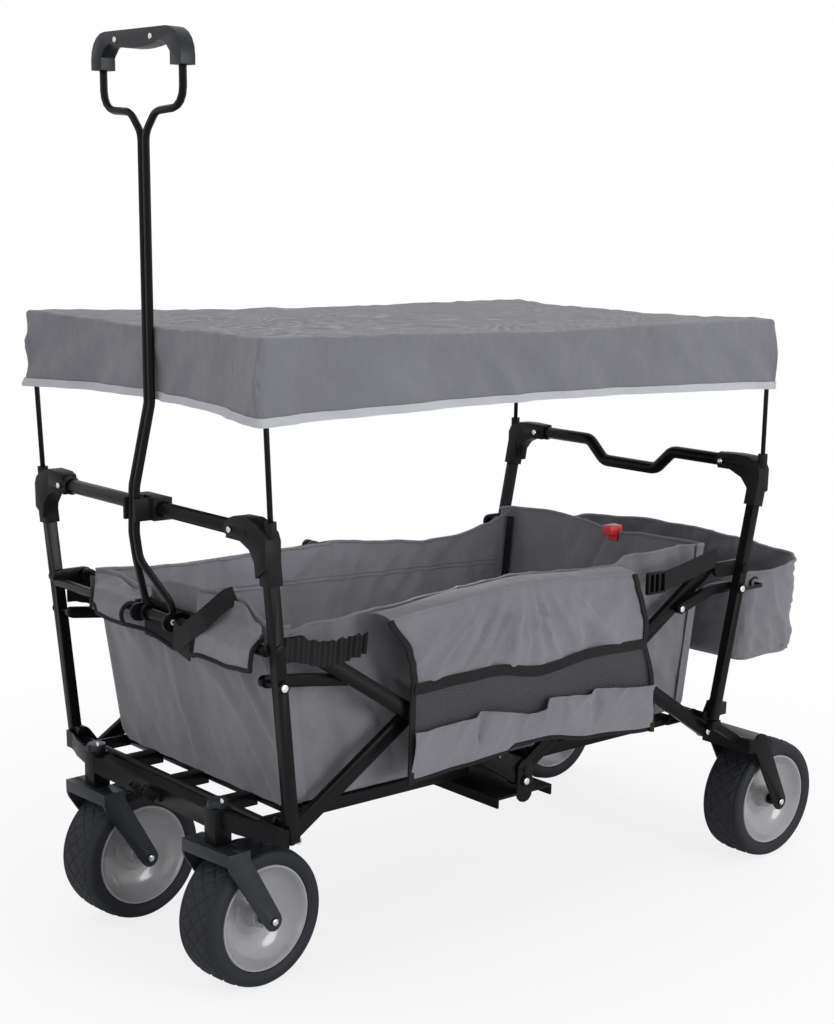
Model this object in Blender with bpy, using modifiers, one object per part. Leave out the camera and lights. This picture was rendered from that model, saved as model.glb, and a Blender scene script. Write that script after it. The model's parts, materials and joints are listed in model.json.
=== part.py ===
"""Folding wagon with a canopy: a steel scissor frame, a cloth tub and four wheels, standing open.

X runs along the wagon with the pull handle at -X, Y runs across it with the near side at -Y, and Z is up
from the ground. Places along X are written from the scissor pairs' middle pivots, and every finished piece is
then set back so that the origin lies on the ground under the middle of the wagon's length. All in metres.
"""

import math

import bmesh
import bpy
from mathutils import Matrix, Vector

# Clearances
FIT = 0.0003
PIN_FIT = 0.0004
BAR_GAP = 0.004
LAP = 0.001

# Scissor pairs, one on each side
CELL = 0.408
RISE = 0.266
LOW_Z = 0.238
BAR_WIDTH = 0.022
BAR_THICK = 0.010
PIN_R = 0.004
HEAD_R = 0.008
HEAD_THICK = 0.003
SPACER_R = 0.006

# Posts and the bars across their tops
POST = 0.015
POST_CLEAR = 0.006
FRONT_FOOT = (-0.425, 0.243)
FRONT_HEAD = (-0.461, 0.636)
REAR_FOOT = (0.404, 0.262)
REAR_HEAD = (0.481, 0.651)
TOP_BAR_R = 0.010
FRONT_BAR_Z = 0.650
PUSH_BAR_Z = 0.665
PUSH_BAR_DIP = 0.032
PUSH_BAR_DIP_Y = 0.060
PUSH_BAR_RAMP_Y = 0.095
BRACKET_WALL = 0.003
BRACKET_REACH = 0.078
BRACKET_ARM = 0.048
BRACKET_DROP = 0.063
BRACKET_HALF_X = 0.012
BRACKET_BOLT_IN = 0.066
BRACKET_BOLT_R = 0.0045
FRONT_ELBOW = (
    (-0.075, -0.012),
    (-0.068, 0.014),
    (-0.057, 0.018),
    (-0.027, 0.019),
    (-0.008, 0.014),
    (0.006, 0.004),
    (0.0105, -0.006),
    (0.0105, -0.040),
    (-0.0105, -0.054),
    (-0.014, -0.034),
    (-0.025, -0.020),
    (-0.044, -0.012),
)
REAR_ELBOW = (
    (-0.075, -0.012),
    (-0.075, 0.012),
    (-0.040, 0.0135),
    (-0.014, 0.0125),
    (0.005, 0.004),
    (0.0105, -0.006),
    (0.0105, -0.040),
    (-0.0105, -0.056),
    (-0.014, -0.036),
    (-0.026, -0.022),
    (-0.050, -0.012),
)
BOLT_PROUD = 0.002
GUIDE_THICK = 0.006
GUIDE_R = 0.012
LUG_THICK = 0.004
LUG_SEAT = 0.004
FRONT_LUG_RISE = 0.026
FRONT_LUG_BLOCK = ((-0.006, 0.006), (0.014, 0.035))
REAR_LUG_RISE = 0.0365
REAR_LUG_BLOCK = ((-0.010, 0.006), (0.005, 0.023))
REAR_SHOE_WIDE = 0.009

# Short levers between the posts and the upper bars
LEVER_WIDTH = 0.016
FRONT_LEVER_Z = 0.455
FRONT_LEVER_BEND = (-0.372, 0.446)
FRONT_LEVER_TIP = (-0.312, 0.437)
REAR_LEVER_Z = 0.472
REAR_LEVER_BEND = (0.402, 0.472)
REAR_LEVER_TIP = (0.331, 0.450)

# Pull handle
CROSS_BAR = (-0.454, 0.499)
CROSS_BAR_R = 0.007
HANDLE_Y = -0.015
HANDLE_TUBE_R = 0.005
TUBE_APART = 0.0106
LEG_Y = 0.033
LEG_EYE_R = 0.0115
LEG_EYE_WIDE = 0.010
LEG_START = 0.009
LEG_RISE = (-0.004, 0.026)
LEG_SPLIT = (-0.0325, 0.083)
STEM_LOW = (-0.0375, 0.119)
STEM_BEND = (-0.0355, 0.181)
STEM_TOP_RISE = 0.289
LEG_BEND_R = 0.040
CHEEK_THICK = 0.005
CHEEK_R = 0.0125
CHEEK_XS = (-0.010, 0.006)
YOKE_BACK_X = 0.0125
YOKE_BACK_HALF = 0.009
YOKE_BOLT = (-0.0115, 0.002)
YOKE_BOLT_R = 0.004
CLIP_REACH = 0.037
CLIP_HALF_Z = 0.015
CLIP_EAR = (0.014, 0.024)
GRIP_X = -0.4635
GRIP_TOP_Z = 1.252
GRIP_TALL = 0.046
GRIP_LEG = 0.024
GRIP_ROUND = 0.034
GRIP_BAR = 0.0155
GRIP_PAD = 0.0075
GRIP_PAD_HALF = 0.060
GRIP_THICK = 0.022
GRIP_EDGE = 0.004
GRIP_SOCKET = 0.018
LOOP_Y = 0.0935
LOOP_SIDE_DROP = 0.048
LOOP_ARM = (0.030, 0.052)
LOOP_LOW_DROP = 0.078
LOOP_BEND_R = 0.025

# Canopy and its poles
POLE_R = 0.0036
SOCKET_WALL = 0.004
SOCKET_TALL = 0.014
SOCKET_ROOT = 0.006
SOCKET_OUT = 0.006
SOCKET_RISE = 0.004
CANOPY_TOP_Z = 0.892
CANOPY_SAG = 0.010
CANOPY_WALL = 0.0035
CANOPY_X = (-0.480, 0.488)
CANOPY_OUT = 0.0125
CANOPY_FLARE = 0.004
CANOPY_SIDE_BOW = 0.006
CANOPY_REAR_BOW = 0.010
CANOPY_HANDLE_GAP = 0.0015
CANOPY_DROP = 0.107
HEM_LIFT = 0.008

# Casters and wheels
WHEEL_R = 0.100
WHEEL_WIDTH = 0.076
TREAD_HALF = 0.021
RIM_R = 0.076
RIM_HALF = 0.033
HUB_R = 0.016
HUB_HALF = 0.026
AXLE_R = 0.0043
WHEEL_STEPS = 24
STEM_X = -0.460
STEM_Y = 0.157
STEM_R = 0.010
STEM_COLLAR_R = 0.0135
STEM_COLLAR_TALL = 0.010
CASTER_TRAIL = 0.055
CASTER_TURN_NEAR = math.radians(5.7)
CASTER_TURN_FAR = math.radians(3.4)
FORK_HALF = 0.050
FORK_THICK = 0.004
FORK_HUB_R = 0.014
CROWN_LOW_Z = 0.197
REAR_WHEEL_X = 0.553
REAR_WHEEL_IN = 0.0175
REAR_CROWN_X = (0.462, 0.510)
REAR_CROWN_Z = (0.200, 0.222)

# Steering frame between the casters
STEER_TUBE = 0.026
STEER_TUBE_Z = (0.215, 0.267)
STEER_RAIL = 0.025
STEER_RAIL_Z = 0.2505
CARRIER_THICK = 0.004
ARM_BOW = (0.003, 0.011)
ARM_BEND_YS = (0.040, 0.038, 0.013)
CARRIER_Z = (0.238, 0.264)
CLIP_YS = (0.002, -0.026)
CLIP_TALL = 0.027
CLIP_WALL = 0.0045
CLIP_PRONG = 0.005

# Floor
CROSS_RAIL_X = 0.428
CROSS_RAIL_R = 0.008
FLOOR_Z = 0.262
FLOOR_FRAME = 0.018
FLOOR_HINGE_X = 0.366
FLOOR_REACH_X = 0.061
FLOOR_HALF = 0.213
FLOOR_RAIL = 0.016
SLAT_WIDE = 0.020
SLAT_YS = (-0.120, 0.0, 0.120)
EAR_THICK = 0.004
PLATE_HALF_X = 0.055
PLATE_Z = 0.220
PLATE_THICK = 0.004
PLATE_FLANGE = 0.014
PLATE_EAR_R = 0.015
PLATE_BOLT_RISE = 0.018
PLATE_BOLT_R = 0.005

# Cloth tub, pockets and bag
CLOTH = 0.004
TUB_LOW_X = (-0.385, 0.400)
TUB_TOP_X = (-0.420, 0.425)
TUB_TOP_Z = 0.530
TUB_FRONT_Z = 0.510
TUB_FRONT_DROP_X = -0.250
TUB_LOW_HALF = 0.222
TUB_TOP_HALF = 0.230
TUB_CLEAR = 0.010
TUB_CORNER_R = 0.025
POCKET_CLEAR = 0.0065
POCKET_THICK = 0.003
POCKET_TOP_Z = 0.523
POCKET_LOW_Z = (0.273, 0.283, 0.269)
POCKET_TOP_X = (-0.271, 0.204)
POCKET_LOW_X = (-0.229, 0.030, 0.264)
BAG_X = (0.486, 0.622)
BAG_HALF = 0.262
BAG_Z = (0.335, 0.487)
BAG_CORNER_R = 0.030
EYELET = (0.512, 0.468)
EYELET_R = 0.008
HOOK_R = 0.003
HOOK_TIP = 0.010
HOOK_BEND_R = 0.010
BUCKLE_Y = -0.030
BUCKLE_LIP = 0.006

# Worked out from the sizes above
HIGH_Z = LOW_Z + RISE
CROSS = (CELL / 2, LOW_Z + RISE / 2)
INNER = (TUB_TOP_HALF + TUB_CLEAR, TUB_TOP_HALF + TUB_CLEAR + BAR_THICK)
OUTER = (INNER[1] + BAR_GAP, INNER[1] + BAR_GAP + BAR_THICK)
HINGE_Z = FLOOR_Z - FIT - FLOOR_FRAME / 2
POST_FACE_Y = OUTER[1] + POST_CLEAR
POST_Y = POST_FACE_Y + POST / 2
POCKET_Y = OUTER[1] + POCKET_CLEAR
CANOPY_HALF = POST_Y + CANOPY_OUT
REAR_WHEEL_Y = POST_Y - REAR_WHEEL_IN
GRIP_LOW_Z = GRIP_TOP_Z - GRIP_TALL
GRIP_HALF = LOOP_Y + GRIP_LEG / 2
GUIDE = (POST_FACE_Y + LAP - GUIDE_THICK, POST_FACE_Y + LAP)
FRONT_HUB_X = STEM_X + CASTER_TRAIL * math.cos(CASTER_TURN_NEAR)
FRONT_REACH = WHEEL_R * math.cos(CASTER_TURN_NEAR) + TREAD_HALF * math.sin(CASTER_TURN_NEAR)
MIDDLE_X = (REAR_WHEEL_X + WHEEL_R + FRONT_HUB_X - FRONT_REACH) / 2
TO_ORIGIN = Matrix.Translation((-MIDDLE_X, 0, 0))
FRAME_BLACK = ((0.020, 0.020, 0.022), 0.38, 0.3)
PLASTIC = ((0.025, 0.026, 0.028), 0.48, 0.0)
GRIP_BLACK = ((0.030, 0.030, 0.032), 0.65, 0.0)
RUBBER = ((0.045, 0.048, 0.055), 0.78, 0.0)
RIM_GREY = ((0.42, 0.42, 0.42), 0.30, 0.0)
TUB_CLOTH = ((0.155, 0.155, 0.170), 0.85, 0.0)
CANOPY_CLOTH = ((0.190, 0.190, 0.205), 0.85, 0.0)
POCKET_CLOTH = ((0.120, 0.120, 0.132), 0.85, 0.0)
LATCH_RED = ((0.45, 0.03, 0.03), 0.45, 0.0)

NEAR = -1
FAR = 1
SIDES = (("near", NEAR), ("far", FAR))
ACROSS = Matrix.Rotation(math.pi / 2, 4, "X")
PARTS = bpy.data.collections.new("folding_wagon")
CUTTERS = bpy.data.collections.new("cutters")


def clear_scene():
    for old in list(bpy.data.objects):
        bpy.data.objects.remove(old)


def shape(mesh, matrix):
    """A hidden working shape, which becomes part of a piece later."""
    made = bpy.data.objects.new(mesh.name, mesh)
    made.matrix_world = matrix
    made.hide_render = True
    made.display_type = "WIRE"
    CUTTERS.objects.link(made)
    return made


def mesh_from(form, name, round_piece=False):
    mesh = bpy.data.meshes.new(name)
    form.to_mesh(mesh)
    form.free()
    if round_piece:
        mesh.shade_smooth()
        mesh.set_sharp_from_angle(angle=math.radians(40))
    return mesh


def between(start, end):
    """The matrix that puts Z along a run, centred on it, with Y level across the wagon where it can be."""
    start = Vector(start)
    end = Vector(end)
    run = (end - start).normalized()
    side = Vector((1, 0, 0)) if abs(run.y) > 0.9 else Vector((0, 1, 0))
    x = side.cross(run).normalized()
    turn = Matrix((x, run.cross(x), run)).transposed().to_4x4()
    return Matrix.Translation((start + end) / 2) @ turn


def box(low, high):
    low = Vector(low)
    high = Vector(high)
    form = bmesh.new()
    bmesh.ops.create_cube(form, size=1.0, matrix=Matrix.Diagonal((*(high - low), 1.0)))
    return shape(mesh_from(form, "box"), Matrix.Translation((low + high) / 2))


def block(side, xs, ys, zs):
    """A box with its Y span given outwards from the middle, on one side of the wagon."""
    inner, outer = sorted(side * y for y in ys)
    return box((xs[0], inner, zs[0]), (xs[1], outer, zs[1]))


def beam(start, end, deep, wide):
    """A bar of rectangular section: deep in the plane of its run and wide across the wagon."""
    form = bmesh.new()
    length = (Vector(end) - Vector(start)).length
    bmesh.ops.create_cube(form, size=1.0, matrix=Matrix.Diagonal((deep, wide, length, 1.0)))
    return shape(mesh_from(form, "beam"), between(start, end))


def rod(start, end, radius, sides=12):
    form = bmesh.new()
    length = (Vector(end) - Vector(start)).length
    bmesh.ops.create_cone(
        form, cap_ends=True, segments=sides, radius1=radius, radius2=radius, depth=length
    )
    return shape(mesh_from(form, "rod", True), between(start, end))


def pin(side, place, ys, radius, sides=12):
    """A rod across the wagon at an (x, z) place."""
    x, z = place
    return rod((x, side * ys[0], z), (x, side * ys[1], z), radius, sides)


def meshed(curve, matrix, round_piece):
    """Turns a curve into a closed mesh shape."""
    guide = bpy.data.objects.new(curve.name, curve)
    bpy.context.scene.collection.objects.link(guide)
    graph = bpy.context.evaluated_depsgraph_get()
    mesh = bpy.data.meshes.new_from_object(guide.evaluated_get(graph))
    bpy.data.objects.remove(guide)
    bpy.data.curves.remove(curve)
    form = bmesh.new()
    form.from_mesh(mesh)
    bmesh.ops.remove_doubles(form, verts=form.verts, dist=1e-5)
    bmesh.ops.recalc_face_normals(form, faces=form.faces)
    bpy.data.meshes.remove(mesh)
    return shape(mesh_from(form, "sweep", round_piece), matrix)


def tube(points, radius, rounds=1):
    """A round tube along a path, with 4 + 2 x rounds sides."""
    curve = bpy.data.curves.new("tube", "CURVE")
    curve.dimensions = "3D"
    curve.bevel_depth = radius
    curve.bevel_resolution = rounds
    curve.use_fill_caps = True
    path = curve.splines.new("POLY")
    path.points.add(len(points) - 1)
    for point, place in zip(path.points, points):
        point.co = (*place, 1.0)
    return meshed(curve, Matrix(), True)


def plate(outline, thick, matrix, holes=()):
    """A flat outline with holes, filled and given a thickness about its own plane."""
    curve = bpy.data.curves.new("plate", "CURVE")
    curve.dimensions = "2D"
    curve.fill_mode = "BOTH"
    curve.extrude = thick / 2
    for ring in (outline, *holes):
        edge = curve.splines.new("POLY")
        edge.points.add(len(ring) - 1)
        for point, (u, v) in zip(edge.points, ring):
            point.co = (u, v, 0.0, 1.0)
        edge.use_cyclic_u = True
    return meshed(curve, matrix, False)


def side_plate(side, outline, ys, holes=()):
    """A plate standing along the wagon, its outline in X and Z and its Y span outwards from the middle."""
    middle = Matrix.Translation((0, side * (ys[0] + ys[1]) / 2, 0))
    return plate(outline, abs(ys[1] - ys[0]), middle @ ACROSS, holes)


def circle(centre, radius, sides=12):
    turns = [2 * math.pi * step / sides for step in range(sides)]
    return [(centre[0] + radius * math.cos(t), centre[1] + radius * math.sin(t)) for t in turns]


def stadium(start, end, start_r, end_r=None, steps=6):
    """The outline round two circles, such as a link with round ends."""
    end_r = start_r if end_r is None else end_r
    run = Vector(end) - Vector(start)
    heading = math.atan2(run.y, run.x)
    lean = math.acos((start_r - end_r) / run.length)
    outline = []
    for centre, radius, first, last in (
        (end, end_r, heading - lean, heading + lean),
        (start, start_r, heading + lean, heading - lean + 2 * math.pi),
    ):
        for step in range(steps + 1):
            turn = first + (last - first) * step / steps
            outline.append((centre[0] + radius * math.cos(turn), centre[1] + radius * math.sin(turn)))
    return outline


def ribbon(path, thick):
    """The outline of a strip of even thickness that follows a flat path."""
    path = [Vector(point) for point in path]
    left = []
    right = []
    for index, point in enumerate(path):
        before = path[max(index - 1, 0)]
        after = path[min(index + 1, len(path) - 1)]
        across = (after - before).normalized().orthogonal() * thick / 2
        left.append(point + across)
        right.append(point - across)
    return [tuple(point) for point in left + right[::-1]]


def bent(corners, radius, steps=4):
    """The points of a path whose corners are turned into arcs."""
    corners = [Vector(corner) for corner in corners]
    path = [corners[0]]
    for before, corner, after in zip(corners, corners[1:], corners[2:]):
        back = (before - corner).normalized()
        onward = (after - corner).normalized()
        half = back.angle(onward) / 2
        reach = radius / math.tan(half)
        centre = corner + (back + onward).normalized() * radius / math.sin(half)
        first = (corner + back * reach - centre).normalized()
        last = (corner + onward * reach - centre).normalized()
        path += [centre + first.slerp(last, step / steps) * radius for step in range(steps + 1)]
    return path + [corners[-1]]


def turned(profile, steps, matrix):
    """A ring: a closed (radius, height) profile, outer side downwards, turned about Z."""
    form = bmesh.new()
    ring = [form.verts.new((radius, 0, height)) for radius, height in profile]
    for first, last in zip(ring, ring[1:] + ring[:1]):
        form.edges.new((first, last))
    made = shape(mesh_from(form, "turned"), matrix)
    screw = made.modifiers.new("turn", "SCREW")
    screw.steps = steps
    screw.render_steps = steps
    screw.use_smooth_shade = True
    return made


def joined(name, base, finish, add=(), cut=(), turn=Matrix()):
    """Makes a named piece from a base shape, with others joined to it and cut from it."""
    for operation, others in (("UNION", add), ("DIFFERENCE", cut)):
        for other in others:
            boolean = base.modifiers.new(operation.lower(), "BOOLEAN")
            boolean.operation = operation
            boolean.solver = "EXACT"
            boolean.object = other
    for each in (base, *add, *cut):
        each.matrix_world = TO_ORIGIN @ turn @ each.matrix_world
    base.name = name
    base.data.name = name
    base.hide_render = False
    base.display_type = "TEXTURED"
    CUTTERS.objects.unlink(base)
    PARTS.objects.link(base)
    colour, roughness, metallic = finish
    paint = bpy.data.materials.new(name)
    paint.use_nodes = True
    shader = paint.node_tree.nodes["Principled BSDF"]
    shader.inputs["Base Color"].default_value = (*colour, 1.0)
    shader.inputs["Roughness"].default_value = roughness
    shader.inputs["Metallic"].default_value = metallic
    base.data.materials.clear()
    base.data.materials.append(paint)
    return base


def carry(name, place, pieces, carrier=None):
    """An empty at a body's joint, which its pieces follow."""
    body = bpy.data.objects.new(name, None)
    body.empty_display_size = 0.05
    place = TO_ORIGIN @ Vector(place)
    body.matrix_world = Matrix.Translation(place)
    PARTS.objects.link(body)
    for piece in pieces:
        piece.parent = body
        piece.matrix_parent_inverse = Matrix.Translation(-place)
    if carrier is not None:
        body.parent = carrier
        body.matrix_parent_inverse = carrier.matrix_world.inverted()
    return body


def post_x(foot, head, z):
    """Where the middle of a leaning post is at a height."""
    return foot[0] + (head[0] - foot[0]) * (z - foot[1]) / (head[1] - foot[1])


def on_post(foot, head, z, y=0.0):
    return Vector((post_x(foot, head, z), y, z))


def lever_root(foot, head, z):
    """Where a lever's pin passes through its post, as (x, z)."""
    return post_x(foot, head, z), z


def tub_x(end, z):
    """The outer face of the tub's end wall at a height: end 0 is the front and 1 the rear."""
    share = (z - FLOOR_Z) / (TUB_TOP_Z - FLOOR_Z)
    return TUB_LOW_X[end] + (TUB_TOP_X[end] - TUB_LOW_X[end]) * share


def bored(place, radius=PIN_R + PIN_FIT):
    return circle(place, radius)


def bar(name, side, low, high, layer, holes, pins, spacers=()):
    """One scissor bar: a flat bar with round ends, holes for its neighbours' pins and its own headed pins.

    Each pin is (place, inner y, outer y), with a head at each end that is given as True.
    """
    body = side_plate(side, stadium(low, high, BAR_WIDTH / 2), layer, [bored(hole) for hole in holes])
    add = []
    for place, start, end in pins:
        inner = start - LAP if start < layer[0] else start
        outer = end + LAP if end > layer[1] else end
        add.append(pin(side, place, (inner, outer), PIN_R))
        if start < layer[0]:
            add.append(pin(side, place, (start - HEAD_THICK, start), HEAD_R))
        if end > layer[1]:
            add.append(pin(side, place, (end, end + HEAD_THICK), HEAD_R))
        else:
            add.append(pin(side, place, (layer[1] - FIT, layer[1] + HEAD_THICK), HEAD_R))
    for place, ys in spacers:
        add.append(pin(side, place, ys, SPACER_R))
    return joined(name, body, FRAME_BLACK, add)


def front_post(side_name, side):
    foot = on_post(FRONT_FOOT, FRONT_HEAD, FRONT_FOOT[1], side * POST_Y)
    head = on_post(FRONT_FOOT, FRONT_HEAD, FRONT_HEAD[1], side * POST_Y)
    pivot = (-CELL, LOW_Z)
    through = (POST_Y - POST, POST_Y + POST)
    lug_ys = (INNER[1] + FIT, INNER[1] + FIT + LUG_THICK)
    lug_top = tuple(on_post(FRONT_FOOT, FRONT_HEAD, LOW_Z + FRONT_LUG_RISE).xz)
    lug_xs, lug_zs = FRONT_LUG_BLOCK
    guide = tuple(on_post(FRONT_FOOT, FRONT_HEAD, HIGH_Z).xz)
    return joined(
        f"front_post_{side_name}",
        beam(foot, head, POST, POST),
        FRAME_BLACK,
        add=[
            side_plate(side, stadium(pivot, lug_top, BAR_WIDTH / 2), lug_ys, [bored(pivot)]),
            block(
                side,
                (lug_top[0] + lug_xs[0], lug_top[0] + lug_xs[1]),
                (lug_ys[0] + LAP, POST_FACE_Y + LUG_SEAT),
                (LOW_Z + lug_zs[0], LOW_Z + lug_zs[1]),
            ),
            side_plate(side, stadium(guide, (-CELL, HIGH_Z), GUIDE_R), GUIDE),
            pin(side, guide, (POST_Y, POST_Y + POST / 2 + HEAD_THICK), HEAD_R),
        ],
        cut=[pin(side, lever_root(FRONT_FOOT, FRONT_HEAD, FRONT_LEVER_Z), through, PIN_R + PIN_FIT)],
    )


def rear_post(side_name, side):
    foot = on_post(REAR_FOOT, REAR_HEAD, REAR_FOOT[1], side * POST_Y)
    head = on_post(REAR_FOOT, REAR_HEAD, REAR_HEAD[1], side * POST_Y)
    pivot = (CELL, LOW_Z)
    through = (POST_Y - POST, POST_Y + POST)
    lug_ys = (OUTER[0] - FIT - LUG_THICK, OUTER[0] - FIT)
    lug_top = (CROSS_RAIL_X, LOW_Z + REAR_LUG_RISE)
    lug_xs, lug_zs = REAR_LUG_BLOCK
    guide = tuple(on_post(REAR_FOOT, REAR_HEAD, HIGH_Z).xz)
    hook_x = post_x(REAR_FOOT, REAR_HEAD, EYELET[1]) + POST / 2 - HOOK_R
    hook = [
        (hook_x, side * POST_Y, EYELET[1]),
        (EYELET[0], side * POST_Y, EYELET[1]),
        (EYELET[0], side * (BAG_HALF - HOOK_TIP), EYELET[1]),
    ]
    return joined(
        f"rear_post_{side_name}",
        beam(foot, head, POST, POST),
        FRAME_BLACK,
        add=[
            side_plate(side, stadium(pivot, lug_top, BAR_WIDTH / 2), lug_ys, [bored(pivot)]),
            block(
                side,
                (lug_top[0] + lug_xs[0], lug_top[0] + lug_xs[1]),
                (lug_ys[0] + LAP, POST_FACE_Y + LUG_SEAT),
                (REAR_FOOT[1] + lug_zs[0], REAR_FOOT[1] + lug_zs[1]),
            ),
            block(
                side,
                (REAR_FOOT[0], lug_top[0] + lug_xs[1] + LAP),
                (POST_FACE_Y + LAP, POST_FACE_Y + REAR_SHOE_WIDE),
                (REAR_FOOT[1] + lug_zs[0] - LAP, REAR_FOOT[1] + lug_zs[1] + LAP),
            ),
            side_plate(side, stadium((CELL, HIGH_Z), guide, GUIDE_R), GUIDE),
            pin(side, guide, (POST_Y, POST_Y + POST / 2 + HEAD_THICK), HEAD_R),
            tube(bent(hook, HOOK_BEND_R), HOOK_R),
        ],
        cut=[pin(side, lever_root(REAR_FOOT, REAR_HEAD, REAR_LEVER_Z), through, PIN_R + PIN_FIT)],
    )


def bracket(name, side, foot, head, bar_z, elbow):
    """A moulded elbow where a post meets the bar across the top, with a socket for the canopy pole."""
    low = on_post(foot, head, bar_z - BRACKET_DROP, side * POST_Y)
    cap = on_post(foot, head, head[1] + FIT + BRACKET_WALL, side * POST_Y)
    arm_x = head[0]
    arm_r = TOP_BAR_R + BRACKET_WALL
    arm_y = POST_Y - BRACKET_REACH
    sleeve = POST + 2 * BRACKET_WALL
    bolt_y = side * (POST_Y - BRACKET_BOLT_IN)
    pole_low, pole_high = pole_ends(side, foot, head, bar_z)
    lean = (pole_high - pole_low).normalized()
    socket_r = POLE_R + SOCKET_WALL
    post_top = on_post(foot, head, head[1] + FIT, side * POST_Y)
    upright = Matrix(((0, 0, 1, arm_x), (1, 0, 0, 0), (0, 1, 0, 0), (0, 0, 0, 1)))
    outline = [(side * (POST_Y + out), bar_z + rise) for out, rise in elbow]
    return joined(
        name,
        plate(outline, 2 * BRACKET_HALF_X, upright),
        PLASTIC,
        add=[
            rod((arm_x, side * arm_y, bar_z), (arm_x, side * (arm_y + BRACKET_ARM), bar_z), arm_r, 20),
            beam(low, cap, sleeve, sleeve),
            rod(pole_low - lean * SOCKET_ROOT, pole_low + lean * SOCKET_TALL, socket_r),
            rod(
                (arm_x, bolt_y, bar_z),
                (arm_x - arm_r - BOLT_PROUD, bolt_y, bar_z),
                BRACKET_BOLT_R,
                12,
            ),
        ],
        cut=[
            pin(side, (arm_x, bar_z), (arm_y - 0.01, bar_end_y() + FIT), TOP_BAR_R + FIT, 20),
            beam(low - (post_top - low), post_top, POST + 2 * FIT, POST + 2 * FIT),
            rod(pole_low - lean * FIT, pole_low + lean * 2 * SOCKET_TALL, POLE_R + FIT, 12),
        ],
    )


def bar_end_y():
    """How far out the bars across the top reach inside their brackets."""
    return POST_FACE_Y - BRACKET_WALL - FIT


def pole_ends(side, foot, head, bar_z):
    """The low and high ends of a canopy pole: from its socket to the corner under the canopy."""
    outward = math.copysign(1.0, head[0])
    end = 0 if outward < 0 else 1
    inset = CANOPY_WALL + POLE_R + 2 * FIT
    bowed = canopy_bow(outward) * (1 - (1 - inset / CANOPY_HALF) ** 2)
    low = Vector((head[0], side * (POST_Y + SOCKET_OUT), bar_z + SOCKET_RISE))
    top_z = CANOPY_TOP_Z - CANOPY_WALL - 4 * FIT
    high = Vector((CANOPY_X[end] - outward * (inset + bowed), side * (CANOPY_HALF - inset - FIT), top_z))
    return low, high


def canopy_bow(outward):
    """How far the canopy's end edge bows inwards at its middle, which at the front clears the pull handle."""
    if outward > 0:
        return CANOPY_REAR_BOW
    return GRIP_X + HANDLE_TUBE_R + CANOPY_HANDLE_GAP - CANOPY_X[0]


def canopy_pole(name, side, foot, head, bar_z):
    low, high = pole_ends(side, foot, head, bar_z)
    return joined(name, rod(low, high, POLE_R, 12), FRAME_BLACK)


def cross_rail(name, end):
    """The round rail under one end of the tub, with stub slats and the ears that carry the hinged floor."""
    x = end * CROSS_RAIL_X
    half = INNER[1] if end < 0 else OUTER[0] - FIT - LUG_THICK - FIT
    stub_x = sorted((x, end * (FLOOR_HINGE_X + FLOOR_FRAME / 2 + 0.0012)))
    stub_z = (HINGE_Z - FLOOR_FRAME / 2, HINGE_Z + FLOOR_FRAME / 2)
    hinge = (end * FLOOR_HINGE_X, HINGE_Z)
    add = [
        box((stub_x[0], y - SLAT_WIDE / 2, stub_z[0]), (stub_x[1], y + SLAT_WIDE / 2, stub_z[1]))
        for y in SLAT_YS
    ]
    ear_ys = (FLOOR_HALF + FIT, FLOOR_HALF + FIT + EAR_THICK)
    ear = stadium((x, HINGE_Z), hinge, FLOOR_FRAME / 2 - FIT)
    for _, side in SIDES:
        add.append(side_plate(side, ear, ear_ys, [bored(hinge)]))
    return joined(name, rod((x, -half, HINGE_Z), (x, half, HINGE_Z), CROSS_RAIL_R), FRAME_BLACK, add)


def floor_half(name, end):
    """Half of the hinged floor: a frame with slats, on pins in the ears of its cross rail."""
    hinge_x = end * FLOOR_HINGE_X
    reach_x = end * FLOOR_REACH_X
    zs = (HINGE_Z - FLOOR_FRAME / 2, HINGE_Z + FLOOR_FRAME / 2)
    xs = sorted((hinge_x, reach_x))
    inner = sorted((reach_x, reach_x + end * FLOOR_RAIL))
    add = [block(side, xs, (FLOOR_HALF - FLOOR_RAIL, FLOOR_HALF), zs) for _, side in SIDES]
    add += [box((xs[0], y - SLAT_WIDE / 2, zs[0]), (xs[1], y + SLAT_WIDE / 2, zs[1])) for y in SLAT_YS]
    add.append(box((inner[0], -FLOOR_HALF, zs[0]), (inner[1], FLOOR_HALF, zs[1])))
    pin_y = FLOOR_HALF + FIT + EAR_THICK + 0.002
    add.append(rod((hinge_x, -pin_y, HINGE_Z), (hinge_x, pin_y, HINGE_Z), PIN_R))
    knuckle = rod((hinge_x, -FLOOR_HALF, HINGE_Z), (hinge_x, FLOOR_HALF, HINGE_Z), FLOOR_FRAME / 2)
    return joined(name, knuckle, FRAME_BLACK, add)


def centre_cross_plate():
    """The wide plate under the middle of the floor, hung on the low middle pivots by an ear at each side."""
    ear_y = OUTER[1] + 2 * FIT
    ears = (ear_y, ear_y + PLATE_THICK)
    low_z = PLATE_Z - PLATE_FLANGE
    half_y = ears[1]
    inner_x = PLATE_HALF_X - PLATE_THICK
    top_zs = (PLATE_Z - PLATE_THICK / 2, PLATE_Z + PLATE_THICK / 2)
    top = box((-PLATE_HALF_X, -half_y, top_zs[0]), (PLATE_HALF_X, half_y, top_zs[1]))
    add = []
    for xs in ((-PLATE_HALF_X, -inner_x), (inner_x, PLATE_HALF_X)):
        add.append(box((xs[0], -half_y, low_z), (xs[1], half_y, PLATE_Z)))
    bolt = (0, LOW_Z + PLATE_BOLT_RISE)
    ear = stadium((0, PLATE_Z), bolt, PLATE_EAR_R)
    for _, side in SIDES:
        add.append(side_plate(side, ear, ears, [bored((0, LOW_Z))]))
        add.append(pin(side, bolt, (ears[1] - FIT, ears[1] + HEAD_THICK), PLATE_BOLT_R))
    return joined("centre_cross_plate", top, FRAME_BLACK, add)


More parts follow.
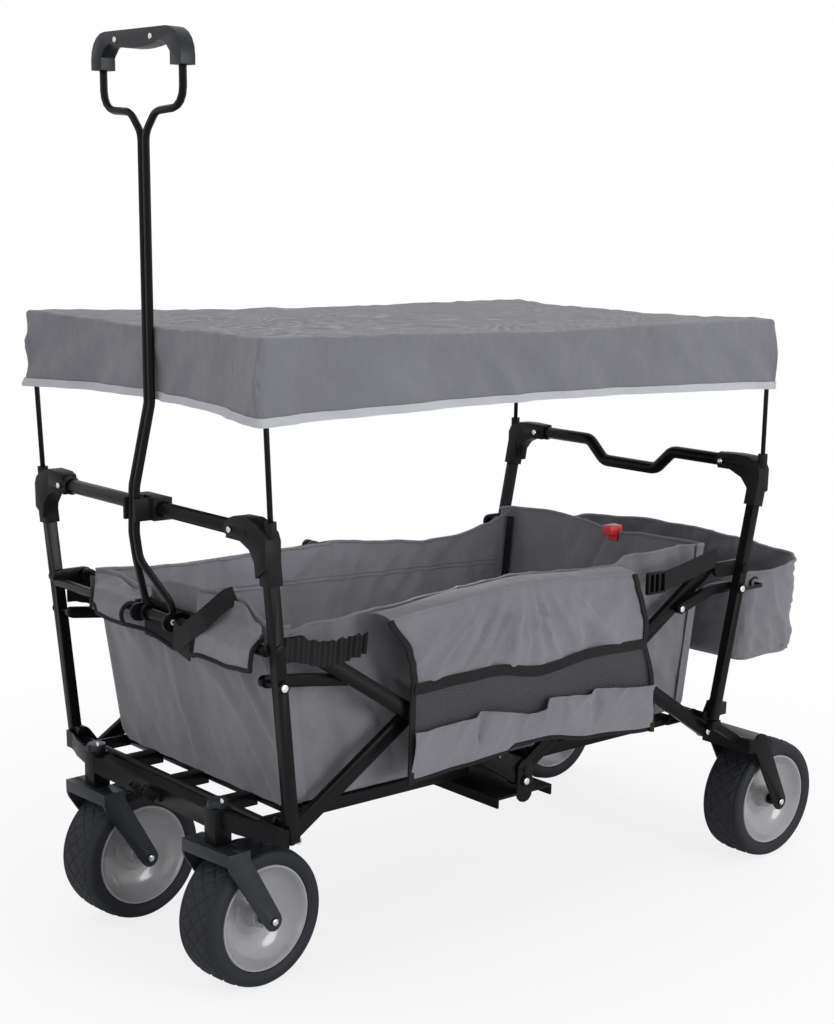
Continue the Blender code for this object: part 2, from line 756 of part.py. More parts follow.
def steering_frame():
    """The square rail between the two steering tubes, and the curved arms that join it to the posts."""
    half = STEER_TUBE / 2
    rail_half = STEER_RAIL / 2
    rail_z = (STEER_RAIL_Z - rail_half, STEER_RAIL_Z + rail_half)
    reach = STEM_Y - half + 0.002
    base = box((STEM_X - rail_half, -reach, rail_z[0]), (STEM_X + rail_half, reach, rail_z[1]))
    add = []
    cut = []
    face_x = post_x(FRONT_FOOT, FRONT_HEAD, CARRIER_Z[1]) - POST / 2 - FIT - CARRIER_THICK / 2
    middle_z = sum(CARRIER_Z) / 2
    for _, side in SIDES:
        ys = (STEM_Y - half, STEM_Y + half)
        add.append(block(side, (STEM_X - half, STEM_X + half), ys, STEER_TUBE_Z))
        path = [
            (STEM_X, side * (STEM_Y + half - 0.004)),
            (STEM_X + ARM_BOW[0], side * (STEM_Y + ARM_BEND_YS[0])),
            (STEM_X + ARM_BOW[1], side * (POST_FACE_Y - ARM_BEND_YS[1])),
            (face_x - ARM_BOW[0], side * (POST_FACE_Y - ARM_BEND_YS[2])),
            (face_x, side * POST_FACE_Y),
            (face_x, side * (POST_Y + POST / 2 - LAP)),
        ]
        arm = ribbon(path, CARRIER_THICK)
        add.append(plate(arm, CARRIER_Z[1] - CARRIER_Z[0], Matrix.Translation((0, 0, middle_z))))
        low = (STEM_X, side * STEM_Y, STEER_TUBE_Z[0] - 0.01)
        high = (STEM_X, side * STEM_Y, STEER_TUBE_Z[1] + 0.01)
        cut.append(rod(low, high, STEM_R + PIN_FIT, 20))
    return joined("steering_frame", base, FRAME_BLACK, add, cut)


def stow_clips():
    """Two sprung clips on one strip, on the front face of the steering rail."""
    face = STEM_X - STEER_RAIL / 2 - FIT
    low_z = STEER_RAIL_Z - 0.008
    strip = (face - 0.003, face)
    base = box((strip[0], CLIP_YS[1] - 0.010, low_z), (strip[1], CLIP_YS[0] + 0.010, low_z + 0.012))
    add = []
    for y in CLIP_YS:
        for lean in (-1, 1):
            root = Vector((strip[0] - 0.0028, y + lean * 0.004, low_z + 0.003))
            tip = root + Vector((-0.016, lean * 0.002, CLIP_TALL - 0.008))
            add.append(beam(root, tip, 0.010, 0.0022))
    return joined("stow_clips", base, PLASTIC, add)


def caster_fork(side_name, side, turn):
    """A fork on a swivelling stem, trailing behind it, with the axle that its wheel turns on."""
    hub = (STEM_X + CASTER_TRAIL, WHEEL_R)
    crown_top = STEER_TUBE_Z[0] - FIT
    crown = (STEM_X - 0.022, STEM_X + 0.014)
    root = (STEM_X - 0.004, CROWN_LOW_Z)
    stem_top = STEER_TUBE_Z[1] + FIT + STEM_COLLAR_TALL
    base = block(1, crown, (-FORK_HALF, FORK_HALF), (CROWN_LOW_Z, crown_top))
    add = fork_arms(root, hub, 0.018)
    add.append(rod((STEM_X, 0, crown_top - 0.002), (STEM_X, 0, stem_top - 0.002), STEM_R, 20))
    add.append(rod((STEM_X, 0, STEER_TUBE_Z[1] + FIT), (STEM_X, 0, stem_top), STEM_COLLAR_R, 20))
    add.append(rod((STEM_X - 0.010, 0, stem_top - 0.005), (STEM_X - 0.016, 0, stem_top - 0.005), 0.004, 12))
    place = Matrix.Translation((STEM_X, side * STEM_Y, 0)) @ Matrix.Rotation(turn, 4, "Z")
    place = place @ Matrix.Translation((-STEM_X, 0, 0))
    return joined(f"caster_fork_{side_name}", base, PLASTIC, add, turn=place), place


def fork_arms(root, hub, root_r):
    """Both legs of a fork about Y = 0, with an axle, its bosses and its screw heads."""
    add = []
    leg = stadium(root, hub, root_r, FORK_HUB_R)
    for side in (NEAR, FAR):
        add.append(side_plate(side, leg, (FORK_HALF - FORK_THICK, FORK_HALF)))
        add.append(pin(side, hub, (HUB_HALF + FIT, FORK_HALF - FORK_THICK / 2), 0.009))
        add.append(pin(side, hub, (FORK_HALF - FORK_THICK / 2, FORK_HALF + BOLT_PROUD), 0.006))
    reach = FORK_HALF - FORK_THICK / 2
    add.append(rod((hub[0], -reach, hub[1]), (hub[0], reach, hub[1]), AXLE_R))
    return add


def rear_fork(side_name, side):
    hub = (REAR_WHEEL_X, WHEEL_R)
    base = block(1, REAR_CROWN_X, (-FORK_HALF, FORK_HALF), REAR_CROWN_Z)
    root = (REAR_CROWN_X[1] - 0.018, sum(REAR_CROWN_Z) / 2 + 0.001)
    add = fork_arms(root, hub, 0.017)
    arm_y = POST_Y - REAR_WHEEL_Y
    arm_ys = sorted((side * (arm_y - POST / 2 + 0.002), side * (arm_y + POST / 2)))
    lean = math.atan2(REAR_HEAD[0] - REAR_FOOT[0], REAR_HEAD[1] - REAR_FOOT[1])
    seat_z = REAR_FOOT[1] - math.sin(lean) * POST / 2 - FIT
    seat_x = (REAR_FOOT[0] - POST / 2, REAR_FOOT[0] + POST / 2 + 0.004)
    add.append(box((seat_x[0], arm_ys[0], seat_z - 0.014), (seat_x[1], arm_ys[1], seat_z)))
    low = Vector((REAR_CROWN_X[0] + 0.012, sum(arm_ys) / 2, REAR_CROWN_Z[1] - 0.010))
    high = Vector((seat_x[1] - 0.006, sum(arm_ys) / 2, seat_z - 0.009))
    add.append(beam(low, high, 0.012, arm_ys[1] - arm_ys[0] - 0.001))
    place = Matrix.Translation((0, side * REAR_WHEEL_Y, 0))
    return joined(f"rear_fork_{side_name}", base, FRAME_BLACK, add, turn=place), place


def wheel(end, side_name, place, hub_x):
    """A rim with deep dished faces, and the tyre round it."""
    half = WHEEL_WIDTH / 2
    rim = [
        (RIM_R, RIM_HALF),
        (RIM_R, -RIM_HALF),
        (RIM_R - 0.005, -RIM_HALF),
        (RIM_R - 0.010, -RIM_HALF + 0.009),
        (0.050, -0.010),
        (0.030, -0.005),
        (HUB_R + 0.002, -0.006),
        (HUB_R, -HUB_HALF),
        (AXLE_R + FIT, -HUB_HALF),
        (AXLE_R + FIT, HUB_HALF),
        (HUB_R, HUB_HALF),
        (HUB_R + 0.002, 0.006),
        (0.030, 0.005),
        (0.050, 0.010),
        (RIM_R - 0.010, RIM_HALF - 0.009),
        (RIM_R - 0.005, RIM_HALF),
    ]
    bead = RIM_R + FIT
    tyre = [
        (WHEEL_R - 0.008, half),
        (WHEEL_R - 0.0025, half - 0.007),
        (WHEEL_R, TREAD_HALF),
        (WHEEL_R, -TREAD_HALF),
        (WHEEL_R - 0.0025, -half + 0.007),
        (WHEEL_R - 0.008, -half),
        (bead, -RIM_HALF - 0.001),
        (bead, RIM_HALF + 0.001),
    ]
    matrix = place @ Matrix.Translation((hub_x, 0, WHEEL_R)) @ Matrix.Rotation(math.pi / 2, 4, "X")
    return [
        joined(f"{end}_rim_{side_name}", turned(rim, WHEEL_STEPS, matrix), RIM_GREY),
        joined(f"{end}_tyre_{side_name}", turned(tyre, WHEEL_STEPS, matrix), RUBBER),
    ]


def lever(name, side, path, layer):
    """A bent link, pinned through its post and lying beside the upper scissor bar."""
    root, bend, tip = path
    half = LEVER_WIDTH / 2
    outside = POST_Y + POST / 2 + FIT
    return joined(
        name,
        side_plate(side, stadium(root, bend, half), layer),
        FRAME_BLACK,
        add=[
            side_plate(side, stadium(bend, tip, half), layer),
            pin(side, root, (layer[1] - LAP, outside + LAP), PIN_R),
            pin(side, root, (outside, outside + HEAD_THICK), HEAD_R),
            pin(side, tip, (layer[1] - LAP, layer[1] + LAP), SPACER_R),
        ],
    )


def push_bar():
    x = REAR_HEAD[0]
    end = bar_end_y()
    low_z = PUSH_BAR_Z - PUSH_BAR_DIP
    corners = [
        (x, -end, PUSH_BAR_Z),
        (x, -PUSH_BAR_RAMP_Y, PUSH_BAR_Z),
        (x, -PUSH_BAR_DIP_Y, low_z),
        (x, PUSH_BAR_DIP_Y, low_z),
        (x, PUSH_BAR_RAMP_Y, PUSH_BAR_Z),
        (x, end, PUSH_BAR_Z),
    ]
    return joined("push_bar", tube(bent(corners, 0.025), TOP_BAR_R, 3), FRAME_BLACK)


def beside(y):
    """The move that takes a piece made about the middle across to its own place."""
    return Matrix.Translation((0, y, 0))


def handle_clip():
    """A saddle round the front top bar with two prongs, between which the handle's tubes snap in."""
    x = FRONT_HEAD[0]
    inner = TUBE_APART / 2 + HANDLE_TUBE_R + 2 * FIT
    near_ear, far_ear = CLIP_EAR
    front_x = x - CLIP_REACH
    back_x = x + TOP_BAR_R + 0.004
    zs = (FRONT_BAR_Z - CLIP_HALF_Z, FRONT_BAR_Z + CLIP_HALF_Z)
    past = 2 * CLIP_HALF_Z
    base = box((front_x, -inner - near_ear, zs[0]), (back_x, inner + far_ear, zs[1]))
    bore = rod((x, -inner - past, FRONT_BAR_Z), (x, inner + past, FRONT_BAR_Z), TOP_BAR_R + FIT, 20)
    mouth = box((front_x - past, -inner, zs[0] - past), (x - TOP_BAR_R / 2, inner, zs[1] + past))
    prong_root_x = x - TOP_BAR_R - CLIP_WALL
    cut = [bore, mouth]
    for _, side in SIDES:
        ys = (inner + CLIP_PRONG, inner + past)
        cut.append(block(side, (front_x - past, prong_root_x), ys, (zs[0] - past, zs[1] + past)))
    return joined("handle_clip", base, PLASTIC, cut=cut, turn=beside(HANDLE_Y))


def handle_yoke():
    """Two cheeks on the cross bar outside the handle's eyes, joined by a plate behind them."""
    x, z = CROSS_BAR
    inner_y = LEG_Y + LEG_EYE_WIDE / 2 + 2 * FIT
    ys = (inner_y, inner_y + CHEEK_THICK)
    cheek = stadium((x + CHEEK_XS[1], z), (x + CHEEK_XS[0], z), CHEEK_R)
    hole = circle(CROSS_BAR, CROSS_BAR_R + FIT, 16)
    base = side_plate(NEAR, cheek, ys, [hole])
    back_xs = (x + YOKE_BACK_X, x + YOKE_BACK_X + CHEEK_THICK)
    back_zs = (z - YOKE_BACK_HALF, z + YOKE_BACK_HALF)
    add = [side_plate(FAR, cheek, ys, [hole])]
    add.append(box((back_xs[0], -ys[1] + LAP, back_zs[0]), (back_xs[1], ys[1] - LAP, back_zs[1])))
    bolt = (x + YOKE_BOLT[0], z + YOKE_BOLT[1])
    for _, side in SIDES:
        add.append(pin(side, bolt, (ys[1] - LAP, ys[1] + BOLT_PROUD), YOKE_BOLT_R))
    return joined("handle_yoke", base, FRAME_BLACK, add, turn=beside(HANDLE_Y))


def handle_tube(side_name, side):
    """One of the two thin tubes of the pull handle, from its eye on the cross bar up to the grip."""
    x, z = CROSS_BAR
    close = side * TUBE_APART / 2
    wide = side * LEG_Y
    join_z = GRIP_LOW_Z - LOOP_LOW_DROP - 2 * LOOP_BEND_R
    stem = [
        (x, wide, z + LEG_START),
        (x + LEG_RISE[0], wide, z + LEG_RISE[1]),
        (x + LEG_SPLIT[0], close, z + LEG_SPLIT[1]),
        (x + STEM_LOW[0], close, z + STEM_LOW[1]),
        (x + STEM_BEND[0], close, z + STEM_BEND[1]),
        (GRIP_X, close, z + STEM_TOP_RISE),
        (GRIP_X, close, join_z),
    ]
    loop = [
        (GRIP_X, close, join_z),
        (GRIP_X, close, GRIP_LOW_Z - LOOP_LOW_DROP),
        (GRIP_X, side * LOOP_ARM[0], GRIP_LOW_Z - LOOP_ARM[1]),
        (GRIP_X, side * LOOP_Y, GRIP_LOW_Z - LOOP_SIDE_DROP),
        (GRIP_X, side * LOOP_Y, GRIP_LOW_Z + GRIP_SOCKET),
    ]
    eye_ys = (LEG_Y - LEG_EYE_WIDE / 2, LEG_Y + LEG_EYE_WIDE / 2)
    bore_ys = (eye_ys[0] - LEG_EYE_WIDE, eye_ys[1] + LEG_EYE_WIDE)
    return joined(
        f"handle_tube_{side_name}",
        tube(bent(stem, LEG_BEND_R) + bent(loop, LOOP_BEND_R)[1:], HANDLE_TUBE_R),
        FRAME_BLACK,
        add=[pin(side, CROSS_BAR, eye_ys, LEG_EYE_R, 16)],
        cut=[pin(side, CROSS_BAR, bore_ys, CROSS_BAR_R + PIN_FIT, 16)],
        turn=beside(HANDLE_Y),
    )


def handle_grip():
    """The moulded grip: an arch over the ends of both tubes, with a pad for the palm under its middle."""
    outline = []
    for side, first in ((FAR, 0), (NEAR, 90)):
        centre = (side * (GRIP_HALF - GRIP_ROUND), GRIP_TOP_Z - GRIP_ROUND)
        for step in range(6):
            turn = math.radians(first + 18 * step)
            outline.append((centre[0] + GRIP_ROUND * math.cos(turn), centre[1] + GRIP_ROUND * math.sin(turn)))
    inner = GRIP_HALF - GRIP_LEG
    arch_z = GRIP_TOP_Z - GRIP_BAR
    outline += [(-GRIP_HALF, GRIP_LOW_Z), (-inner, GRIP_LOW_Z), (-inner, GRIP_LOW_Z + GRIP_BAR)]
    outline += [(-(inner + GRIP_PAD_HALF) / 2, arch_z - GRIP_EDGE), (-GRIP_PAD_HALF, arch_z)]
    for step in range(-3, 4):
        share = step / 4
        outline.append((share * GRIP_PAD_HALF, arch_z - GRIP_PAD * (1 - share * share)))
    outline += [(GRIP_PAD_HALF, arch_z), ((inner + GRIP_PAD_HALF) / 2, arch_z - GRIP_EDGE)]
    outline += [(inner, GRIP_LOW_Z + GRIP_BAR), (inner, GRIP_LOW_Z), (GRIP_HALF, GRIP_LOW_Z)]
    upright = Matrix(((0, 0, 1, GRIP_X), (1, 0, 0, 0), (0, 1, 0, 0), (0, 0, 0, 1)))
    base = plate(outline, GRIP_THICK, upright)
    edge = base.modifiers.new("soft edge", "BEVEL")
    edge.width = GRIP_EDGE
    edge.segments = 1
    edge.limit_method = "ANGLE"
    edge.angle_limit = math.radians(60)
    cut = []
    for _, side in SIDES:
        low = (GRIP_X, side * LOOP_Y, GRIP_LOW_Z - 0.01)
        high = (GRIP_X, side * LOOP_Y, GRIP_LOW_Z + GRIP_SOCKET + FIT)
        cut.append(rod(low, high, HANDLE_TUBE_R + FIT))
    return joined("handle_grip", base, GRIP_BLACK, cut=cut, turn=beside(HANDLE_Y))


def tub_end_wall(name, end):
    """A stiffened end wall of the tub, leaning outwards, with round lower corners."""
    outward = (-1, 1)[end]
    top_z = TUB_FRONT_Z if end == 0 else TUB_TOP_Z
    low = Vector((tub_x(end, FLOOR_Z), 0, FLOOR_Z))
    high = Vector((tub_x(end, top_z), 0, top_z))
    tall = (high - low).length
    section = tub_section(0.0, tall)
    rise = (high - low).normalized()
    normal = Vector((0, 1, 0)).cross(rise)
    place = Matrix((Vector((0, 1, 0)), rise, normal)).transposed().to_4x4()
    middle = low - normal * math.copysign(CLOTH / 2, outward * normal.x)
    return joined(name, plate(section, CLOTH, Matrix.Translation(middle) @ place), TUB_CLOTH)


def tub_section(low_z, top_z):
    """The tub's outer section from one rim, round the floor's corners and up to the other rim, as (y, z)."""
    points = [(-TUB_TOP_HALF, top_z)]
    for side, first in ((-1, 180), (1, 270)):
        for step in range(5):
            turn = math.radians(first + 90 * step / 4)
            y = side * (TUB_LOW_HALF - TUB_CORNER_R) + TUB_CORNER_R * math.cos(turn)
            points.append((y, low_z + TUB_CORNER_R * (1 + math.sin(turn))))
    points.append((TUB_TOP_HALF, top_z))
    return points


def rim_z(x):
    share = min(1.0, max(0.0, (x - TUB_TOP_X[0]) / (TUB_FRONT_DROP_X - TUB_TOP_X[0])))
    return TUB_FRONT_Z + (TUB_TOP_Z - TUB_FRONT_Z) * share


def tub_side_fabric():
    """The tub's floor and both side walls as one sheet of cloth, between the two end walls."""
    form = bmesh.new()
    inset = CLOTH + FIT + 0.0006
    stations = (0.0, 0.2, 0.5, 0.8, 1.0)
    columns = []
    for share in stations:
        column = []
        at_x = TUB_TOP_X[0] + (TUB_TOP_X[1] - TUB_TOP_X[0]) * share
        for y, z in tub_section(FLOOR_Z, rim_z(at_x)):
            front = tub_x(0, z) + inset
            rear = tub_x(1, z) - inset
            column.append(form.verts.new((front + (rear - front) * share, y, z)))
        columns.append(column)
    for first, last in zip(columns, columns[1:]):
        for index in range(len(first) - 1):
            form.faces.new((first[index], first[index + 1], last[index + 1], last[index]))
    bmesh.ops.recalc_face_normals(form, faces=form.faces)
    if sum(face.normal.z for face in form.faces) > 0:
        bmesh.ops.reverse_faces(form, faces=form.faces)
    made = shape(mesh_from(form, "sheet"), Matrix())
    wall = made.modifiers.new("cloth", "SOLIDIFY")
    wall.thickness = CLOTH
    wall.offset = -1.0
    wall.use_even_offset = True
    return joined("tub_side_fabric", made, TUB_CLOTH)


def pocket_panel(side_name, side):
    """The pocket panel that hangs outside the scissor bars from a strip along the tub's rim."""
    left, right = POCKET_TOP_X
    corners = [(left, POCKET_TOP_Z), *zip(POCKET_LOW_X, POCKET_LOW_Z), (right, POCKET_TOP_Z)]
    panel = side_plate(side, corners, (POCKET_Y, POCKET_Y + POCKET_THICK))
    strip_ys = (TUB_TOP_HALF + FIT, POCKET_Y + POCKET_THICK - 0.0005)
    strip_zs = (POCKET_TOP_Z - POCKET_THICK, POCKET_TOP_Z - FIT)
    strip = block(side, (left + LAP, right - LAP), strip_ys, strip_zs)
    return joined(f"pocket_panel_{side_name}", panel, POCKET_CLOTH, add=[strip])


def canopy():
    """The canopy as one sheet: a top that sags a little between its corners, and a skirt all round."""
    form = bmesh.new()
    middle_x = sum(CANOPY_X) / 2
    half_x = (CANOPY_X[1] - CANOPY_X[0]) / 2
    size = Matrix.Diagonal((half_x, CANOPY_HALF, 1.0, 1.0))
    place = Matrix.Translation((middle_x, 0, CANOPY_TOP_Z)) @ size
    bmesh.ops.create_grid(form, x_segments=8, y_segments=6, size=1.0, matrix=place)
    rim = [edge for edge in form.edges if edge.is_boundary]
    skirt = bmesh.ops.extrude_edge_only(form, edges=rim)["geom"]
    hem = [part for part in skirt if isinstance(part, bmesh.types.BMVert)]
    for vert in hem:
        along = (vert.co.x - middle_x) / half_x
        aside = vert.co.y / CANOPY_HALF
        edge_middle = min(1.0, 2.0 - along * along - aside * aside)
        vert.co.x += CANOPY_FLARE * round(along, 6) * (abs(along) > 0.999) * aside**2
        vert.co.y += CANOPY_FLARE * round(aside, 6) * (abs(aside) > 0.999) * along**2
        vert.co.z -= CANOPY_DROP - HEM_LIFT * edge_middle
    low = set(hem)
    for vert in form.verts:
        along = max(-1.0, min(1.0, (vert.co.x - middle_x) / half_x))
        aside = max(-1.0, min(1.0, vert.co.y / CANOPY_HALF))
        vert.co.x -= along * canopy_bow(along) * (1 - aside**2)
        vert.co.y -= aside * CANOPY_SIDE_BOW * (1 - along**2)
        if vert not in low:
            vert.co.z -= CANOPY_SAG * (1 - along**2 * aside**2) * (2 - along**2 - aside**2) / 2
    bmesh.ops.recalc_face_normals(form, faces=form.faces)
    if sum(face.normal.z for face in form.faces) < 0:
        bmesh.ops.reverse_faces(form, faces=form.faces)
    made = shape(mesh_from(form, "canopy"), Matrix())
    wall = made.modifiers.new("cloth", "SOLIDIFY")
    wall.thickness = CANOPY_WALL
    wall.offset = -1.0
    wall.use_even_offset = True
    return joined("canopy", made, CANOPY_CLOTH)


def rear_bag():
    """The open-topped bag behind the push bar, with an eyelet in each end wall for its hooks."""
    form = bmesh.new()
    size = Vector((BAG_X[1] - BAG_X[0], 2 * BAG_HALF, BAG_Z[1] - BAG_Z[0]))
    middle = Vector((sum(BAG_X) / 2, 0, sum(BAG_Z) / 2))
    bmesh.ops.create_cube(form, size=1.0, matrix=Matrix.Translation(middle) @ Matrix.Diagonal((*size, 1.0)))
    top = [face for face in form.faces if face.normal.z > 0.5]
    bmesh.ops.delete(form, geom=top, context="FACES")
    upright = [edge for edge in form.edges if abs(edge.verts[0].co.z - edge.verts[1].co.z) > 0.01]
    bmesh.ops.bevel(
        form, geom=upright, offset=BAG_CORNER_R, segments=4, profile=0.5, affect="EDGES", material=-1
    )
    made = shape(mesh_from(form, "bag"), Matrix())
    wall = made.modifiers.new("cloth", "SOLIDIFY")
    wall.thickness = CLOTH
    wall.offset = -1.0
    wall.use_even_offset = True
    hang = EYELET_R * math.cos(math.pi / 12) - HOOK_R - FIT
    eyelet = (EYELET[0], EYELET[1] - hang)
    hole = pin(1, eyelet, (-BAG_HALF - 0.02, BAG_HALF + 0.02), EYELET_R)
    return joined("rear_bag", made, TUB_CLOTH, cut=[hole])


def latch_buckle():
    """The red catch that straddles the rear wall's rim."""
    rim = tub_x(1, TUB_TOP_Z)
    low_z = TUB_TOP_Z - 0.016
    ys = (BUCKLE_Y - 0.010, BUCKLE_Y + 0.010)
    base = box((rim - 0.034, ys[0], low_z), (rim + 0.012, ys[1], TUB_TOP_Z + 0.010))
    slot = (rim - CLOTH - FIT - 0.0015, rim + FIT + 0.0008)
    cut = [box((slot[0], ys[0] - 0.01, low_z - 0.01), (slot[1], ys[1] + 0.01, TUB_TOP_Z + 3 * FIT))]
    under = (slot[0] - BUCKLE_LIP, TUB_TOP_Z - BUCKLE_LIP)
    cut.append(box((rim - 0.05, ys[0] - 0.01, low_z - 0.01), (under[0], ys[1] + 0.01, under[1])))
    return joined("latch_buckle", base, LATCH_RED, cut=cut)


def build():
    clear_scene()
    bpy.context.scene.collection.children.link(PARTS)
    bpy.context.scene.collection.children.link(CUTTERS)
    CUTTERS.hide_render = True

    front = [steering_frame(), stow_clips(), handle_clip(), handle_yoke()]
    bar_place = (FRONT_HEAD[0], FRONT_BAR_Z)
    top_bar = pin(1, bar_place, (-bar_end_y(), bar_end_y()), TOP_BAR_R, 20)
    front.append(joined("front_top_bar", top_bar, FRAME_BLACK))
    bar_y = GUIDE[0] - FIT
    cross_bar = pin(1, CROSS_BAR, (-bar_y, bar_y), CROSS_BAR_R)
    front.append(joined("handle_cross_bar", cross_bar, FRAME_BLACK))
    front += [cross_rail("front_cross_rail", -1), tub_end_wall("tub_front_wall", 0)]
    front += [tub_side_fabric(), canopy()]
    rear = [push_bar(), cross_rail("rear_cross_rail", 1), tub_end_wall("tub_rear_wall", 1), rear_bag()]
    rear.append(latch_buckle())
    bars = {"a": [], "b": [], "c": [], "d": []}
    levers = {"front": [], "rear": []}
    handle = [handle_grip()]
    casters = {}
    wheels = {}
    left_low = (-CELL, LOW_Z)
    left_high = (-CELL, HIGH_Z)
    right_low = (CELL, LOW_Z)
    right_high = (CELL, HIGH_Z)
    mid_low = (0, LOW_Z)
    mid_high = (0, HIGH_Z)
    left_cross = (-CROSS[0], CROSS[1])
    lug_out = INNER[1] + FIT + LUG_THICK + FIT
    lug_in = OUTER[0] - FIT - LUG_THICK - FIT
    ear_out = OUTER[1] + 3 * FIT + PLATE_THICK
    behind = INNER[0] - FIT
    front_root = lever_root(FRONT_FOOT, FRONT_HEAD, FRONT_LEVER_Z)
    rear_root = lever_root(REAR_FOOT, REAR_HEAD, REAR_LEVER_Z)
    front_path = (front_root, FRONT_LEVER_BEND, FRONT_LEVER_TIP)
    rear_path = (rear_root, REAR_LEVER_BEND, REAR_LEVER_TIP)
    for side_name, side in SIDES:
        front.append(front_post(side_name, side))
        rear.append(rear_post(side_name, side))
        front_top = (side, FRONT_FOOT, FRONT_HEAD, FRONT_BAR_Z)
        rear_top = (side, REAR_FOOT, REAR_HEAD, PUSH_BAR_Z)
        front.append(bracket(f"front_bracket_{side_name}", *front_top, FRONT_ELBOW))
        rear.append(bracket(f"rear_bracket_{side_name}", *rear_top, REAR_ELBOW))
        front.append(canopy_pole(f"canopy_pole_front_{side_name}", *front_top))
        rear.append(canopy_pole(f"canopy_pole_rear_{side_name}", *rear_top))
        front.append(pocket_panel(side_name, side))
        bars["a"].append(
            bar(
                f"bar_a_{side_name}", side, mid_low, left_high, OUTER, [],
                [(left_cross, behind, OUTER[1]), (mid_low, behind, ear_out)],
            )
        )
        bars["b"].append(
            bar(
                f"bar_b_{side_name}", side, left_low, mid_high, INNER, [left_cross],
                [(left_low, INNER[0] + LAP, lug_out), (mid_high, INNER[0] + LAP, OUTER[1] + FIT)],
            )
        )
        bars["d"].append(
            bar(
                f"bar_d_{side_name}", side, mid_low, right_high, INNER, [CROSS, mid_low],
                [], [(right_high, (INNER[1] - LAP, GUIDE[0] - FIT))],
            )
        )
        bars["c"].append(
            bar(
                f"bar_c_{side_name}", side, right_low, mid_high, OUTER, [mid_high],
                [(CROSS, behind, OUTER[1]), (right_low, lug_in, OUTER[1])],
            )
        )
        levers["front"].append(lever(f"front_lever_{side_name}", side, front_path, INNER))
        levers["rear"].append(lever(f"rear_lever_{side_name}", side, rear_path, OUTER))
        handle.append(handle_tube(side_name, side))
        turn = CASTER_TURN_NEAR if side == NEAR else CASTER_TURN_FAR
        fork, place = caster_fork(side_name, side, turn)
        casters[side_name] = fork
        wheels[f"front_{side_name}"] = wheel("front", side_name, place, STEM_X + CASTER_TRAIL), place
        fork, place = rear_fork(side_name, side)
        rear.append(fork)
        wheels[f"rear_{side_name}"] = wheel("rear", side_name, place, REAR_WHEEL_X), place

    front_frame = carry("front_frame", (0, 0, 0), front)
    rear_frame = carry("rear_frame", (CELL, 0, LOW_Z), rear)
    carry("pull_handle", (CROSS_BAR[0], HANDLE_Y, CROSS_BAR[1]), handle, front_frame)
    carry("bars_b", (-CELL, 0, LOW_Z), bars["b"], front_frame)
    carry("bars_a", (-CROSS[0], 0, CROSS[1]), bars["a"], front_frame)
    carry("bars_d", (0, 0, LOW_Z), bars["d"], rear_frame)
    carry("bars_c", (CROSS[0], 0, CROSS[1]), bars["c"], rear_frame)
    carry("centre_plate", (0, 0, LOW_Z), [centre_cross_plate()], front_frame)
    carry("levers_front", (front_root[0], 0, front_root[1]), levers["front"], front_frame)
    carry("levers_rear", (rear_root[0], 0, rear_root[1]), levers["rear"], rear_frame)
    carry("floor_front_half", (-FLOOR_HINGE_X, 0, HINGE_Z), [floor_half("floor_front", -1)], front_frame)
    carry("floor_rear_half", (FLOOR_HINGE_X, 0, HINGE_Z), [floor_half("floor_rear", 1)], rear_frame)
    for side_name, side in SIDES:
        stem = carry(f"caster_{side_name}", (STEM_X, side * STEM_Y, 0), [casters[side_name]], front_frame)
        pieces, place = wheels[f"front_{side_name}"]
        hub = place @ Vector((STEM_X + CASTER_TRAIL, 0, WHEEL_R))
        carry(f"front_wheel_{side_name}", hub, pieces, stem)
        pieces, place = wheels[f"rear_{side_name}"]
        hub = place @ Vector((REAR_WHEEL_X, 0, WHEEL_R))
        carry(f"rear_wheel_{side_name}", hub, pieces, rear_frame)


build()
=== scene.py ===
# %% [markdown]
# # A folding wagon with a canopy
#
# The construction model holds the steel frame, the wheels and a plain solid for each piece of cloth, all at
# their real size. This lesson dresses it: every cloth piece is made again with its folds, hems and pockets,
# the wheels get their tread and their deep rims, and every surface gets a finish. Nothing is moved: each
# new piece is placed from the frame that is loaded here, and rides on the body that carries it.

# %% The frame and the tools
import json
import math

import bmesh
import bpy
from mathutils import Matrix, Vector, noise

